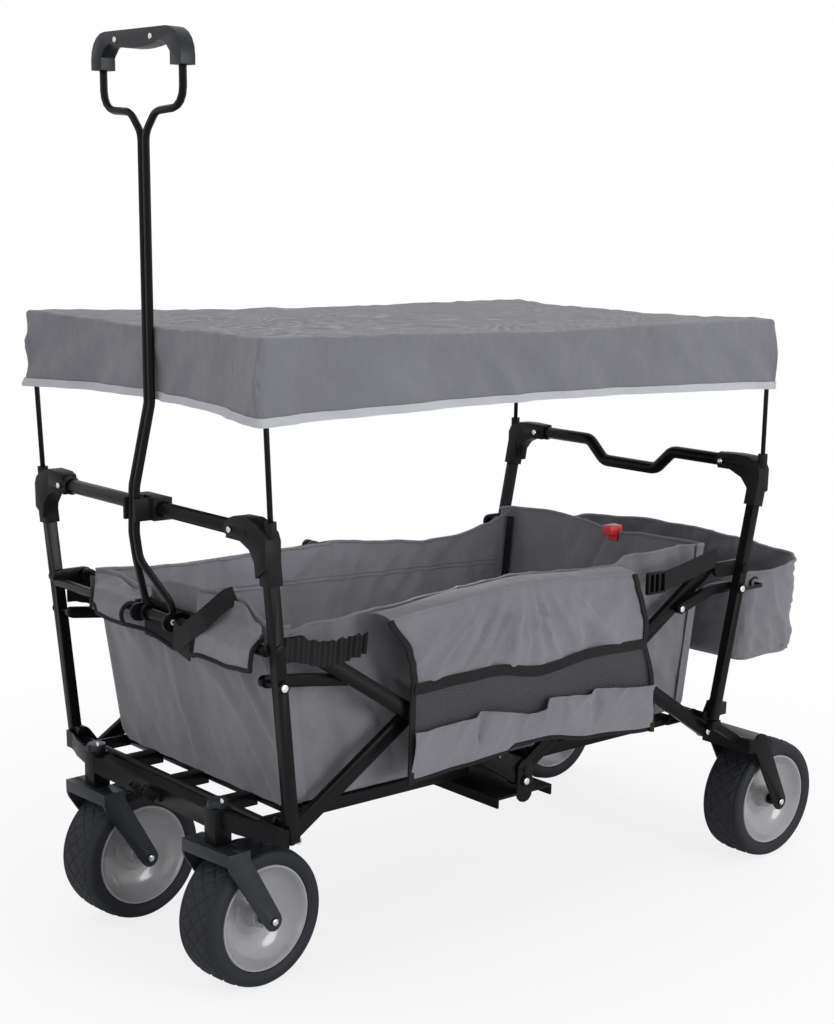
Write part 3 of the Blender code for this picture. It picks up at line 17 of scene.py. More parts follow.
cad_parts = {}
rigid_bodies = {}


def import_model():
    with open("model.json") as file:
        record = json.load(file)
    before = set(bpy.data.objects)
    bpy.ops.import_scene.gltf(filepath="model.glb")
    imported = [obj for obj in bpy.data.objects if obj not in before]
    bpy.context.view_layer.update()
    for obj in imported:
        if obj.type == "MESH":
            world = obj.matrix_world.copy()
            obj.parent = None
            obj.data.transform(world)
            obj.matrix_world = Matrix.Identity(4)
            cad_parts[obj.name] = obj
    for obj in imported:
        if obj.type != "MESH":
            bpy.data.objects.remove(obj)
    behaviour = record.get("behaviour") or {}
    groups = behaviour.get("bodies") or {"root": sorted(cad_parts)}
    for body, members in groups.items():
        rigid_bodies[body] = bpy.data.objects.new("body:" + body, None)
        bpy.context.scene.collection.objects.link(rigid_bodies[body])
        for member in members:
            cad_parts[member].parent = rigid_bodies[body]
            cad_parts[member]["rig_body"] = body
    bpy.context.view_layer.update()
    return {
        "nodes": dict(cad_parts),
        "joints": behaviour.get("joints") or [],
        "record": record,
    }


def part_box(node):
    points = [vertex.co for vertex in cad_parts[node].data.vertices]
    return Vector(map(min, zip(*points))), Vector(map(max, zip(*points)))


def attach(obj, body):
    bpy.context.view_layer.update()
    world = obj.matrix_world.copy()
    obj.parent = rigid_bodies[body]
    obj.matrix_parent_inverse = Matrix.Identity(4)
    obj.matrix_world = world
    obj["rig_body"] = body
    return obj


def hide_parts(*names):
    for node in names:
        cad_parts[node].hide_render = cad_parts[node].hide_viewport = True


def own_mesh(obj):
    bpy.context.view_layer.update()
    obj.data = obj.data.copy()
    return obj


for leftover in list(bpy.data.objects):
    bpy.data.objects.remove(leftover)
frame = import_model()
PIVOTS = {joint["name"]: Vector(joint["pos_m"]) for joint in frame["joints"]}
CENTRE_X = PIVOTS["centre_low"].x
SIDES = (("near", -1), ("far", 1))


def at(x, y, z):
    """A place measured along the wagon from the middle pivots of its scissor bars."""
    return Vector((CENTRE_X + x, y, z))


# %% [markdown]
# ## The camera
#
# The photograph was taken from in front of the wagon's near corner, a little above its canopy's height. The
# camera is set by a place and three turns, worked out from the bolts and the wheels, which all have known
# places on the real frame. A small shift puts the picture's middle where the photograph has it.

# %% The camera
PHOTO_WIDE = 834
PHOTO_TALL = 1024
FOCAL_PIXELS = 1755.56
MIDDLE_PIXEL = (471.13, 663.25)
SENSOR_MM = 36.0
EYE = at(-1.6977, -2.0223, 1.0434)
YAW = math.radians(42.1189)
PITCH = math.radians(-14.4838)
ROLL = math.radians(1.3616)


def look_matrix(eye, yaw, pitch, roll):
    """The camera's matrix: yaw turns from +Y towards +X, and pitch is above the horizon."""
    ahead = Vector((math.sin(yaw) * math.cos(pitch), math.cos(yaw) * math.cos(pitch), math.sin(pitch)))
    level = Vector((math.cos(yaw), -math.sin(yaw), 0.0))
    upward = level.cross(ahead)
    right = math.cos(roll) * level + math.sin(roll) * upward
    top = math.cos(roll) * upward - math.sin(roll) * level
    turned = Matrix((right, top, -ahead)).transposed().to_4x4()
    return Matrix.Translation(eye) @ turned


camera = bpy.data.objects.new("camera", bpy.data.cameras.new("camera"))
bpy.context.scene.collection.objects.link(camera)
camera.matrix_world = look_matrix(EYE, YAW, PITCH, ROLL)
camera.data.sensor_width = SENSOR_MM
camera.data.lens = FOCAL_PIXELS / PHOTO_TALL * SENSOR_MM
camera.data.shift_x = (PHOTO_WIDE / 2 - MIDDLE_PIXEL[0]) / PHOTO_TALL
camera.data.shift_y = (MIDDLE_PIXEL[1] - PHOTO_TALL / 2) / PHOTO_TALL
bpy.context.scene.camera = camera
print("lens", round(camera.data.lens, 2), "mm")

# %% [markdown]
# ## Light and floor
#
# A product picture has broad, soft light and no hard shadow. One large lamp stands to the camera's right,
# which makes the near side lighter than the front. A weaker one fills the front, a wide one hangs overhead,
# and a small one below the canopy lifts the inside of the tub. The sky gives the rest. The floor is white
# where the camera sees it without the object, and keeps a faint shadow under the wheels. Three helpers make
# and join nodes here and in every finish.

# %% Light and floor
WHITE = (1.0, 1.0, 1.0, 1.0)
PAPER = (0.86, 0.86, 0.86, 1.0)
SKY_STRENGTH = 0.80
FLOOR_REACH = 9.0
FLOOR_FADE = {"From_Min": 0.35, "From_Max": 1.9, "To_Min": 0.80}
WAGON_MIDDLE = at(0, 0, 0.5)
LAMPS = (
    ("key_lamp", at(0.9, -4.0, 1.35), 2.0, 74.0, WAGON_MIDDLE),
    ("fill_lamp", at(-3.8, -1.3, 1.5), 2.2, 22.0, WAGON_MIDDLE),
    ("top_lamp", at(0.2, 0.2, 3.6), 3.2, 6.0, WAGON_MIDDLE),
    ("inner_lamp", at(-0.18, -0.16, 0.70), 0.20, 1.2, at(-0.05, 0.24, 0.45)),
)


def lamp(name, place, size, power, target):
    """A round lamp at a place, which looks at a target and isn't seen itself."""
    light = bpy.data.lights.new(name, "AREA")
    light.shape = "DISK"
    light.size = size
    light.energy = power
    holder = bpy.data.objects.new(name, light)
    bpy.context.scene.collection.objects.link(holder)
    turn = (target - place).to_track_quat("-Z", "Y").to_matrix().to_4x4()
    holder.matrix_world = Matrix.Translation(place) @ turn
    holder.visible_camera = False


def new_node(tree, kind, **values):
    """A shader node of one kind, with plain values on its named inputs."""
    made = tree.nodes.new(f"ShaderNode{kind}")
    for name, value in values.items():
        made.inputs[name.replace("_", " ")].default_value = value
    return made


def sum_node(tree, operation, first, second=None):
    """The result of a math node, whose inputs are sockets or plain numbers."""
    made = new_node(tree, "Math")
    made.operation = operation
    for socket, value in zip(made.inputs, (first, second)):
        if isinstance(value, (int, float)):
            socket.default_value = value
        elif value is not None:
            tree.links.new(value, socket)
    return made.outputs[0]


def mixed(tree, share, first, second):
    """The result of mixing two shaders by a share."""
    mix = new_node(tree, "MixShader")
    for socket, source in zip(mix.inputs, (share, first, second)):
        tree.links.new(source, socket)
    return mix.outputs[0]


def white_sky():
    """A sky that lights at one strength, and is plain white where it is seen or mirrored."""
    world = bpy.data.worlds.new("studio")
    bpy.context.scene.world = world
    world.use_nodes = True
    tree = world.node_tree
    rays = new_node(tree, "LightPath").outputs
    seen = rays["Is Camera Ray"]
    for kind in ("Is Glossy Ray", "Is Transmission Ray"):
        seen = sum_node(tree, "MAXIMUM", seen, rays[kind])
    light = tree.nodes["Background"]
    light.inputs["Color"].default_value = WHITE
    light.inputs["Strength"].default_value = SKY_STRENGTH
    white = new_node(tree, "Background", Color=WHITE, Strength=1.0)
    sky = mixed(tree, seen, light.outputs[0], white.outputs[0])
    tree.links.new(sky, tree.nodes["World Output"].inputs["Surface"])


def paper_white():
    """The floor's material: pale, with shadows, and lifted for the camera so that it melts into the sky."""
    paper = bpy.data.materials.new("paper_white")
    paper.use_nodes = True
    tree = paper.node_tree
    shader = tree.nodes["Principled BSDF"]
    for name, value in (("Base Color", PAPER), ("Roughness", 1.0), ("Specular IOR Level", 0.0)):
        shader.inputs[name].default_value = value
    glow = new_node(tree, "Emission", Strength=1.0)
    reach = new_node(tree, "VectorMath")
    reach.operation = "LENGTH"
    tree.links.new(new_node(tree, "TexCoord").outputs["Object"], reach.inputs[0])
    fade = new_node(tree, "MapRange", **FLOOR_FADE)
    fade.interpolation_type = "SMOOTHSTEP"
    tree.links.new(reach.outputs["Value"], fade.inputs["Value"])
    seen = new_node(tree, "LightPath").outputs["Is Camera Ray"]
    share = sum_node(tree, "MULTIPLY", fade.outputs["Result"], seen)
    lifted = mixed(tree, share, shader.outputs[0], glow.outputs[0])
    tree.links.new(lifted, tree.nodes["Material Output"].inputs["Surface"])
    return paper


def white_floor():
    """A wide flat sheet of paper that is the stage, not a piece of the wagon."""
    form = bmesh.new()
    bmesh.ops.create_grid(form, x_segments=4, y_segments=4, size=FLOOR_REACH)
    mesh = bpy.data.meshes.new("floor")
    form.to_mesh(mesh)
    form.free()
    mesh.materials.append(paper_white())
    floor = bpy.data.objects.new("floor", mesh)
    bpy.context.scene.collection.objects.link(floor)


for lamp_facts in LAMPS:
    lamp(*lamp_facts)
white_sky()
white_floor()
bpy.context.scene.view_settings.view_transform = "Standard"
print("lamps", len(LAMPS))

# %% [markdown]
# ## Patterns that several finishes share
#
# A node group is a pattern with named inputs, built once. Three are enough here: a woven cloth, a soft
# mottle that varies a colour and a gloss from place to place, and an open net of crossing threads. They
# only give masks and heights; each material turns those into its own colours, so that the same weave can be
# grey or black.

# %% Pattern groups


def pattern_group(name, numbers, results):
    """An empty node group that takes a place and some named numbers, and gives named results."""
    group = bpy.data.node_groups.new(name, "ShaderNodeTree")
    group.interface.new_socket("Place", in_out="INPUT", socket_type="NodeSocketVector")
    for number in numbers:
        group.interface.new_socket(number, in_out="INPUT", socket_type="NodeSocketFloat")
    for result in results:
        group.interface.new_socket(result, in_out="OUTPUT", socket_type="NodeSocketFloat")
    return group, group.nodes.new("NodeGroupInput"), group.nodes.new("NodeGroupOutput")


def weave_pattern():
    """Threads that cross along all three directions, so that it covers a surface however it is turned."""
    group, source, result = pattern_group("weave", ("Pitch",), ("Threads",))
    split = group.nodes.new("ShaderNodeSeparateXYZ")
    group.links.new(source.outputs["Place"], split.inputs[0])
    turn = sum_node(group, "DIVIDE", 2 * math.pi, source.outputs["Pitch"])
    waves = [sum_node(group, "SINE", sum_node(group, "MULTIPLY", axis, turn)) for axis in split.outputs]
    crossed = sum_node(group, "ADD", sum_node(group, "MULTIPLY", waves[0], waves[2]),
                       sum_node(group, "MULTIPLY", waves[1], waves[2]))
    group.links.new(sum_node(group, "ADD", crossed, 0.5), result.inputs["Threads"])
    return group


def mottle_pattern():
    """A broad soft noise and a fine one, both from 0 to 1."""
    group, source, result = pattern_group("mottle", ("Broad", "Fine"), ("Clouds", "Grain"))
    for number, name, detail in (("Broad", "Clouds", 3.0), ("Fine", "Grain", 2.0)):
        cloud = new_node(group, "TexNoise", Detail=detail)
        group.links.new(source.outputs["Place"], cloud.inputs["Vector"])
        group.links.new(sum_node(group, "DIVIDE", 1.0, source.outputs[number]), cloud.inputs["Scale"])
        group.links.new(cloud.outputs["Fac"], result.inputs[name])
    return group


def net_pattern():
    """Slanted threads that cross in X and Z, and leave diamond holes."""
    group, source, result = pattern_group("net", ("Pitch", "Thread"), ("Cover",))
    split = group.nodes.new("ShaderNodeSeparateXYZ")
    group.links.new(source.outputs["Place"], split.inputs[0])
    x, _, z = split.outputs
    strands = []
    for operation in ("ADD", "SUBTRACT"):
        run = sum_node(group, "DIVIDE", sum_node(group, operation, x, z), source.outputs["Pitch"])
        strands.append(sum_node(group, "PINGPONG", run, 0.5))
    nearest = sum_node(group, "MINIMUM", *strands)
    group.links.new(sum_node(group, "LESS_THAN", nearest, source.outputs["Thread"]), result.inputs["Cover"])
    return group


WEAVE = weave_pattern()
MOTTLE = mottle_pattern()
NET = net_pattern()
print("pattern groups", len(bpy.data.node_groups))

# %% [markdown]
# ## The finishes
#
# Each finish has a dark and a light tint, which the mottle mixes, so that no surface is one flat colour.
# On cloth the same clouds also raise the broad bump, so its hollows carry painted shade and its crests painted
# light.
# Cloth adds its threads and a fine crumple to the bump, paint and plastic only a fine grain. The plain
# numbers, such as sheen and coat, stay on the shader's own sockets.

# %% The finishes


FINISH = {}


class Finish:
    """One material with its shader and its object coordinates at hand, filed under its name."""

    def __init__(self, name, roughness, **constants):
        FINISH[name] = bpy.data.materials.new(name)
        FINISH[name].use_nodes = True
        self.tree = FINISH[name].node_tree
        self.shader = self.tree.nodes["Principled BSDF"]
        for socket, value in {"Roughness": roughness, **constants}.items():
            self.shader.inputs[socket.replace("_", " ")].default_value = value
        self.place = new_node(self.tree, "TexCoord").outputs["Object"]

    def pattern(self, group, **numbers):
        """The results of a pattern at this object's own coordinates."""
        made = new_node(self.tree, "Group")
        made.node_tree = group
        self.tree.links.new(self.place, made.inputs["Place"])
        for name, value in numbers.items():
            made.inputs[name].default_value = value
        return made.outputs

    def tint(self, dark, light, mask):
        """Base Color runs from one tint to the other with a mask."""
        mix = self.tree.nodes.new("ShaderNodeMix")
        mix.data_type = "RGBA"
        mix.inputs["A"].default_value = (*dark, 1.0)
        mix.inputs["B"].default_value = (*light, 1.0)
        self.tree.links.new(mask, mix.inputs["Factor"])
        self.tree.links.new(mix.outputs["Result"], self.shader.inputs["Base Color"])

    def gloss(self, low, high, mask):
        """Roughness runs between two values with a mask."""
        spread = new_node(self.tree, "MapRange", To_Min=low, To_Max=high)
        self.tree.links.new(mask, spread.inputs["Value"])
        self.tree.links.new(spread.outputs["Result"], self.shader.inputs["Roughness"])

    def bump(self, *layers):
        """Each layer is (height mask, its depth in metres)."""
        normal = None
        for mask, depth in layers:
            made = new_node(self.tree, "Bump", Distance=depth, Strength=1.0)
            self.tree.links.new(mask, made.inputs["Height"])
            if normal is not None:
                self.tree.links.new(normal, made.inputs["Normal"])
            normal = made.outputs["Normal"]
        self.tree.links.new(normal, self.shader.inputs["Normal"])


CRUMPLE = 0.0022
THREAD_DEEP = 0.0001


def cloth(name, dark, light):
    """Woven cloth: broad soft swells, a fine crumple and its threads. The tint follows the swells, with
    painted shade in their hollows and painted light on their crests.
    """
    finish = Finish(name, 0.85, Sheen_Weight=0.25, Sheen_Roughness=0.5, Specular_IOR_Level=0.25)
    mottle = finish.pattern(MOTTLE, Broad=0.11, Fine=0.016)
    threads = finish.pattern(WEAVE, Pitch=0.0011)["Threads"]
    # Painted shade and light: the tint runs from dark to light with the same clouds that raise the broad bump
    # below, so hollows are darker and crests lighter, on top of a random tone.
    finish.tint(dark, light, mottle["Clouds"])
    finish.gloss(0.72, 0.92, mottle["Grain"])
    finish.bump((mottle["Clouds"], CRUMPLE * 6), (mottle["Grain"], CRUMPLE * 0.7), (threads, THREAD_DEEP))


def moulded(name, dark, light, rough, grain=0.0004, **constants):
    """Paint and plastic: a tint, a gloss that varies and a fine grain."""
    finish = Finish(name, rough[0], **constants)
    mottle = finish.pattern(MOTTLE, Broad=0.05, Fine=grain * 4)
    finish.tint(dark, light, mottle["Clouds"])
    finish.gloss(rough[0], rough[1], mottle["Clouds"])
    finish.bump((mottle["Grain"], grain * 0.12),)


def open_net(name, tint):
    """A net of crossing threads, with nothing between them."""
    finish = Finish(name, 0.7)
    mottle = finish.pattern(MOTTLE, Broad=0.05, Fine=0.004)
    finish.tint(tint, tuple(2.2 * part for part in tint), mottle["Clouds"])
    cover = finish.pattern(NET, Pitch=0.0048, Thread=0.17)["Cover"]
    finish.tree.links.new(cover, finish.shader.inputs["Alpha"])


def webbing(name, dark, light):
    """A coarse, dull tape."""
    finish = Finish(name, 0.8, Sheen_Weight=0.04, Specular_IOR_Level=0.2)
    mottle = finish.pattern(MOTTLE, Broad=0.03, Fine=0.003)
    threads = finish.pattern(WEAVE, Pitch=0.0024)["Threads"]
    finish.tint(dark, light, mottle["Clouds"])
    finish.gloss(0.6, 0.85, mottle["Grain"])
    finish.bump((threads, 0.0003), (mottle["Grain"], 0.0005))


moulded("frame_black", (0.0026, 0.0026, 0.0028), (0.0048, 0.0048, 0.0052), (0.26, 0.38),
        Specular_IOR_Level=0.10)
moulded("caster_slate", (0.007, 0.009, 0.013), (0.012, 0.015, 0.020), (0.34, 0.46), Specular_IOR_Level=0.32)
moulded("black_plastic", (0.0035, 0.0035, 0.0038), (0.0065, 0.0065, 0.0070), (0.42, 0.58), 0.0006,
        Specular_IOR_Level=0.14)
moulded("grip_black", (0.006, 0.007, 0.009), (0.010, 0.011, 0.014), (0.32, 0.5), 0.0006,
        Specular_IOR_Level=0.30)
moulded("tyre_rubber", (0.007, 0.008, 0.011), (0.013, 0.014, 0.019), (0.58, 0.76), 0.0010,
        Specular_IOR_Level=0.30)
moulded("rim_grey", (0.23, 0.23, 0.24), (0.31, 0.31, 0.32), (0.20, 0.30), 0.0003, Coat_Weight=0.5)
moulded("bright_steel", (0.62, 0.62, 0.63), (0.75, 0.75, 0.76), (0.14, 0.28), 0.0002, Metallic=1.0)
moulded("latch_red", (0.50, 0.020, 0.028), (0.62, 0.030, 0.040), (0.28, 0.40))
cloth("tub_cloth", (0.104, 0.104, 0.118), (0.186, 0.186, 0.208))
cloth("pocket_cloth", (0.118, 0.118, 0.136), (0.176, 0.176, 0.200))
cloth("canopy_cloth", (0.118, 0.118, 0.136), (0.164, 0.164, 0.188))
cloth("hem_grey", (0.36, 0.36, 0.40), (0.44, 0.44, 0.48))
open_net("mesh_black", (0.006, 0.006, 0.007))
webbing("webbing_black", (0.0030, 0.0030, 0.0034), (0.0062, 0.0062, 0.0070))
print("finishes", len(FINISH))

# %% [markdown]
# ## Tools of the workshop
#
# Small helpers make almost every piece. One turns a finished form into an object that rides on its body.
# Others round the corners of a route, sweep a tube or lay a flat strap along it, turn a profile about an
# axle, make boxes with rounded edges, cut a form into strips, and give an open sheet its thickness. A curve
# makes the tubes, because it keeps its thickness round a bend. An edge that bends by more than a piece's
# sharp angle, in degrees, is shaded as a crease.

# %% Tools of the workshop
WELD = 1e-5
STEEL_SHARP = 40
STRAP_SHARP = 50
EDGING_SHARP = 60
CLOTH_SHARP = 70
SQUARE_EDGE = 1.2


def piece(form, name, body, slot, sharp, replaces=()):
    """Makes an object of a bmesh, with its finish, and lets it ride on a body."""
    mesh = bpy.data.meshes.new(name)
    form.to_mesh(mesh)
    form.free()
    mesh.materials.append(FINISH[slot])
    mesh.shade_smooth()
    mesh.set_sharp_from_angle(angle=math.radians(sharp))
    made = bpy.data.objects.new(name, mesh)
    bpy.context.scene.collection.objects.link(made)
    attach(made, body)
    if replaces:
        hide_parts(*replaces)
    return made


def shares(count, first=0.0, last=1.0):
    """Even shares from the first to the last, both included."""
    return [first + (last - first) * step / count for step in range(count + 1)]


def cleaned(form):
    """Merges the points that meet and turns all faces outwards."""
    bmesh.ops.remove_doubles(form, verts=form.verts, dist=WELD)
    bmesh.ops.recalc_face_normals(form, faces=form.faces)
    return form


def walled(form, thick):
    """Gives an open sheet its thickness."""
    bmesh.ops.solidify(form, geom=form.faces[:], thickness=thick)
    bmesh.ops.recalc_face_normals(form, faces=form.faces)
    return form


def rounded(corners, radius, steps=8):
    """A route through corners, each turned into an arc that fits the runs beside it."""
    corners = [Vector(corner) for corner in corners]
    route = [corners[0]]
    for before, corner, after in zip(corners, corners[1:], corners[2:]):
        back = (before - corner).normalized()
        onward = (after - corner).normalized()
        half = back.angle(onward) / 2
        room = 0.48 * min((before - corner).length, (after - corner).length)
        arc = min(radius, room * math.tan(half))
        reach = arc / math.tan(half)
        centre = corner + (back + onward).normalized() * arc / math.sin(half)
        first = (corner + back * reach - centre).normalized()
        last = (corner + onward * reach - centre).normalized()
        route += [centre + first.slerp(last, step / steps) * arc for step in range(steps + 1)]
    return route + [corners[-1]]


def swept(route, radius, rounds=6, loop=False):
    """A tube along a route, as a bmesh with closed ends."""
    curve = bpy.data.curves.new("route", "CURVE")
    curve.dimensions = "3D"
    curve.bevel_depth = radius
    curve.bevel_resolution = rounds
    curve.use_fill_caps = not loop
    line = curve.splines.new("POLY")
    line.points.add(len(route) - 1)
    line.use_cyclic_u = loop
    for point, place in zip(line.points, route):
        point.co = (*place, 1.0)
    guide = bpy.data.objects.new("route", curve)
    bpy.context.scene.collection.objects.link(guide)
    graph = bpy.context.evaluated_depsgraph_get()
    mesh = bpy.data.meshes.new_from_object(guide.evaluated_get(graph))
    form = bmesh.new()
    form.from_mesh(mesh)
    cleaned(form)
    bpy.data.objects.remove(guide)
    bpy.data.curves.remove(curve)
    bpy.data.meshes.remove(mesh)
    return form


def joined(*forms):
    """Several closed forms in one bmesh."""
    first = forms[0]
    for other in forms[1:]:
        mesh = bpy.data.meshes.new("part")
        other.to_mesh(mesh)
        other.free()
        first.from_mesh(mesh)
        bpy.data.meshes.remove(mesh)
    return first


def strap(route, across, thick):
    """A flat band along a route, as wide as the vector across it."""
    form = bmesh.new()
    across = Vector(across)
    line = [form.verts.new(Vector(place) - across / 2) for place in route]
    edges = [form.edges.new(pair) for pair in zip(line, line[1:])]
    grown = bmesh.ops.extrude_edge_only(form, edges=edges)["geom"]
    moved = [part for part in grown if isinstance(part, bmesh.types.BMVert)]
    bmesh.ops.translate(form, verts=moved, vec=across)
    bmesh.ops.recalc_face_normals(form, faces=form.faces)
    return walled(form, thick)


def turned(profile, steps, centre, axle, closed=True):
    """A (radius, along) profile turned all the way round an axle. A closed one also joins its two ends."""
    form = bmesh.new()
    axle = Vector(axle).normalized()
    out = axle.orthogonal().normalized()
    line = [form.verts.new(centre + out * radius + axle * along) for radius, along in profile]
    edges = [form.edges.new(pair) for pair in zip(line, line[1:] + (line[:1] if closed else []))]
    bmesh.ops.spin(form, geom=line + edges, cent=centre, axis=axle, angle=2 * math.pi, steps=steps,
                   use_merge=True)
    return cleaned(form)


def bevelled(form, edges, width, segments, clamp=False):
    """Rounds some edges of a form."""
    bmesh.ops.bevel(form, geom=edges, offset=width, segments=segments, profile=0.5, affect="EDGES",
                    material=-1, clamp_overlap=clamp)
    return form


def plain_box(low, high):
    """A box between two corners."""
    form = bmesh.new()
    size = Matrix.Diagonal((*(high - low), 1.0))
    bmesh.ops.create_cube(form, size=1.0, matrix=Matrix.Translation((low + high) / 2) @ size)
    return form


def block(low, high, edge=0.0008):
    """A box with rounded edges."""
    form = plain_box(low, high)
    return bevelled(form, form.edges[:], edge, 2, True)


def sliced(form, axis, low, high, pitch):
    """Cuts a form into even strips along an axis."""
    count = max(1, round((high - low) / pitch))
    normal = Vector([float(index == axis) for index in range(3)])
    for step in range(1, count):
        place = normal * (low + (high - low) * step / count)
        everything = form.verts[:] + form.edges[:] + form.faces[:]
        bmesh.ops.bisect_plane(form, geom=everything, dist=WELD, plane_co=place, plane_no=normal)
    return form


def open_box(low, high, bare, corner, shoulder, pitches):
    """A box for cloth: some faces left out, its edges rounded and all of it cut into strips.

    Bare holds -1 for no floor and 1 for no lid. Corner and shoulder are the (width, segments) of the upright
    edges and of the others.
    """
    form = plain_box(low, high)
    openings = [face for face in form.faces if any(face.normal.z * way > 0.5 for way in bare)]
    bmesh.ops.delete(form, geom=openings, context="FACES")
    upright = [edge for edge in form.edges if abs(edge.verts[0].co.z - edge.verts[1].co.z) > 0.001]
    bevelled(form, upright, *corner)
    if shoulder:
        square = [edge for edge in form.edges if edge.is_manifold and edge.calc_face_angle(0.0) > SQUARE_EDGE]
        bevelled(form, square, *shoulder)
    for axis, pitch in enumerate(pitches):
        sliced(form, axis, low[axis], high[axis], pitch)
    bmesh.ops.recalc_face_normals(form, faces=form.faces)
    form.normal_update()
    return form


def pushed(form, place):
    """Moves each point to where a function of its place and its outward direction puts it."""
    outs = {vert: vert.normal.copy() for vert in form.verts}
    for vert, out in outs.items():
        vert.co = place(vert.co.copy(), out)
    return form


print("tools ready")

# %% [markdown]
# ## The steel frame
#
# The posts, bars, levers and rails already have their true shape. Real tube and plate never has a razor
# edge, so each is copied, its loose triangles are merged and its sharp edges get a small round, which
# catches the light. The copy stands for the construction piece and rides where it rode.

# %% The steel frame
SHARP_EDGE = math.radians(42)
FLAT_EDGE = math.radians(0.6)
SOFTENED = {
    0.0022: ("front_post", "rear_post"),
    0.0016: ("bar_a", "bar_b", "bar_c", "bar_d", "steering_frame"),
    0.0014: ("handle_clip", "caster_fork"),
    0.0012: ("front_lever", "rear_lever", "floor", "rear_fork"),
    0.0010: ("handle_yoke",),
    0.0009: ("centre_cross_plate",),
    0.0008: ("front_cross_rail", "rear_cross_rail", "front_top_bar", "handle_cross_bar", "stow_clips",
             "push_bar"),
    0.0006: ("canopy_pole",),
}


def softened(node, width):
    """A copy of a construction piece with its sharp edges rounded."""
    form = bmesh.new()
    form.from_mesh(frame["nodes"][node].data)
    bmesh.ops.remove_doubles(form, verts=form.verts, dist=WELD)
    bmesh.ops.dissolve_limit(form, angle_limit=FLAT_EDGE, verts=form.verts[:], edges=form.edges[:])
    sharp = [edge for edge in form.edges if edge.is_manifold and edge.calc_face_angle(0.0) > SHARP_EDGE]
    return bevelled(form, sharp, width, 2, True)


def slot_of(node):
    """The record's slot of a construction piece."""
    return next(part["material_slot"] for part in frame["record"]["subparts"] if part["node"] == node)


for node, cad_object in sorted(frame["nodes"].items()):
    width = next((width for width, starts in SOFTENED.items() if node.startswith(starts)), None)
    if width:
        body = cad_object["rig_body"]
        piece(softened(node, width), f"{node}_steel", body, slot_of(node), STEEL_SHARP, [node])

# %% [markdown]
# ## Wheels
#
# Each wheel is two turned pieces. The rim is a deep, glossy bowl on each side of a thin web. The tyre has a
# round shoulder, and a tread whose grooves cross in diamonds: the points of the turned form that fall in a
# groove are moved inwards. A wheel's place and direction come from its own spinning joint.

# %% Wheels
WHEEL_R = 0.1
RIM_STEPS = 120
RIM_SHARP = 30
TREAD_STEPS = 360
TREAD_ROWS = 36
TREAD_HALF = 0.034
TREAD_LINES = 22
TREAD_LEAN = 1.15
SHOULDER_DROP = 0.0036
SHOULDER_R = 0.0955
GROOVE_DEEP = 0.0017
GROOVE_HALF = 0.0021
RING_GROOVE = 0.0275
RIM_FACE = (
    (0.0757, 0.0330), (0.0748, 0.0343), (0.0728, 0.0343), (0.0712, 0.0325), (0.0690, 0.0285),
    (0.0650, 0.0225), (0.0590, 0.0165), (0.0520, 0.0120), (0.0440, 0.0088), (0.0360, 0.0068),
    (0.0310, 0.0060), (0.0290, 0.0072), (0.0260, 0.0075), (0.0190, 0.0080), (0.0170, 0.0110),
    (0.0160, 0.0250), (0.0150, 0.0259), (0.0047, 0.0259),
)
SIDEWALL = (
    (0.0948, 0.0362), (0.0915, 0.0377), (0.0870, 0.0380), (0.0825, 0.0374), (0.0792, 0.0360),
    (0.0764, 0.0342),
)


def both_faces(face):
    """A profile and its mirror image, as one closed line."""
    return list(face) + [(radius, -along) for radius, along in reversed(face)]


def tread_radius(along):
    """The tread falls away towards its two shoulders."""
    return WHEEL_R - SHOULDER_DROP * (abs(along) / TREAD_HALF) ** 4


def groove_depth(around, along):
    """How deep the tread is cut at a place, both measured along the rubber in metres."""
    pitch = 2 * math.pi * WHEEL_R / TREAD_LINES
    nearest = abs(abs(along) - RING_GROOVE)
    if abs(along) < RING_GROOVE:
        for lean in (-TREAD_LEAN, TREAD_LEAN):
            run = (around + lean * along) % pitch
            nearest = min(nearest, min(run, pitch - run) * 0.70)
    return GROOVE_DEEP * max(0.0, 1.0 - (nearest / GROOVE_HALF) ** 2)


def tyre_form(centre, axle):
    """A turned tyre whose tread is pressed in along its grooves."""
    outside = [(tread_radius(along), along) for along in shares(TREAD_ROWS, TREAD_HALF, -TREAD_HALF)]
    inside = [(radius, -along) for radius, along in SIDEWALL] + list(reversed(SIDEWALL))
    form = turned(outside + inside, TREAD_STEPS, centre, axle)
    out = axle.orthogonal().normalized()
    side = axle.cross(out)
    for vert in form.verts:
        reach = vert.co - centre
        along = reach.dot(axle)
        radial = reach - axle * along
        if radial.length > SHOULDER_R and abs(along) < TREAD_HALF:
            around = math.atan2(radial.dot(side), radial.dot(out)) * WHEEL_R
            vert.co -= radial.normalized() * groove_depth(around, along)
    return form


SPINS = [joint for joint in frame["joints"] if joint["name"].endswith("_spin")]
for joint in SPINS:
    wheel = joint["child"]
    end, _, side_name = wheel.split("_")
    centre = Vector(joint["pos_m"])
    axle = Vector(joint["axis"]).normalized()
    rim = turned(both_faces(RIM_FACE), RIM_STEPS, centre, axle)
    piece(rim, f"{wheel}_rim", wheel, "rim_grey", RIM_SHARP, [f"{end}_rim_{side_name}"])
    tyre = tyre_form(centre, axle)
    piece(tyre, f"{wheel}_tyre", wheel, "tyre_rubber", STRAP_SHARP, [f"{end}_tyre_{side_name}"])
print("wheels", len(SPINS))

# %% [markdown]
# ## Screws and rivets
#
# Bright screw heads show at the pivots, the brackets, the steering tubes, the hubs, the handle's yoke and
# its grip. Each is a low dome with a dimple, seated a hair's breadth off the dark head that the
# construction already has.

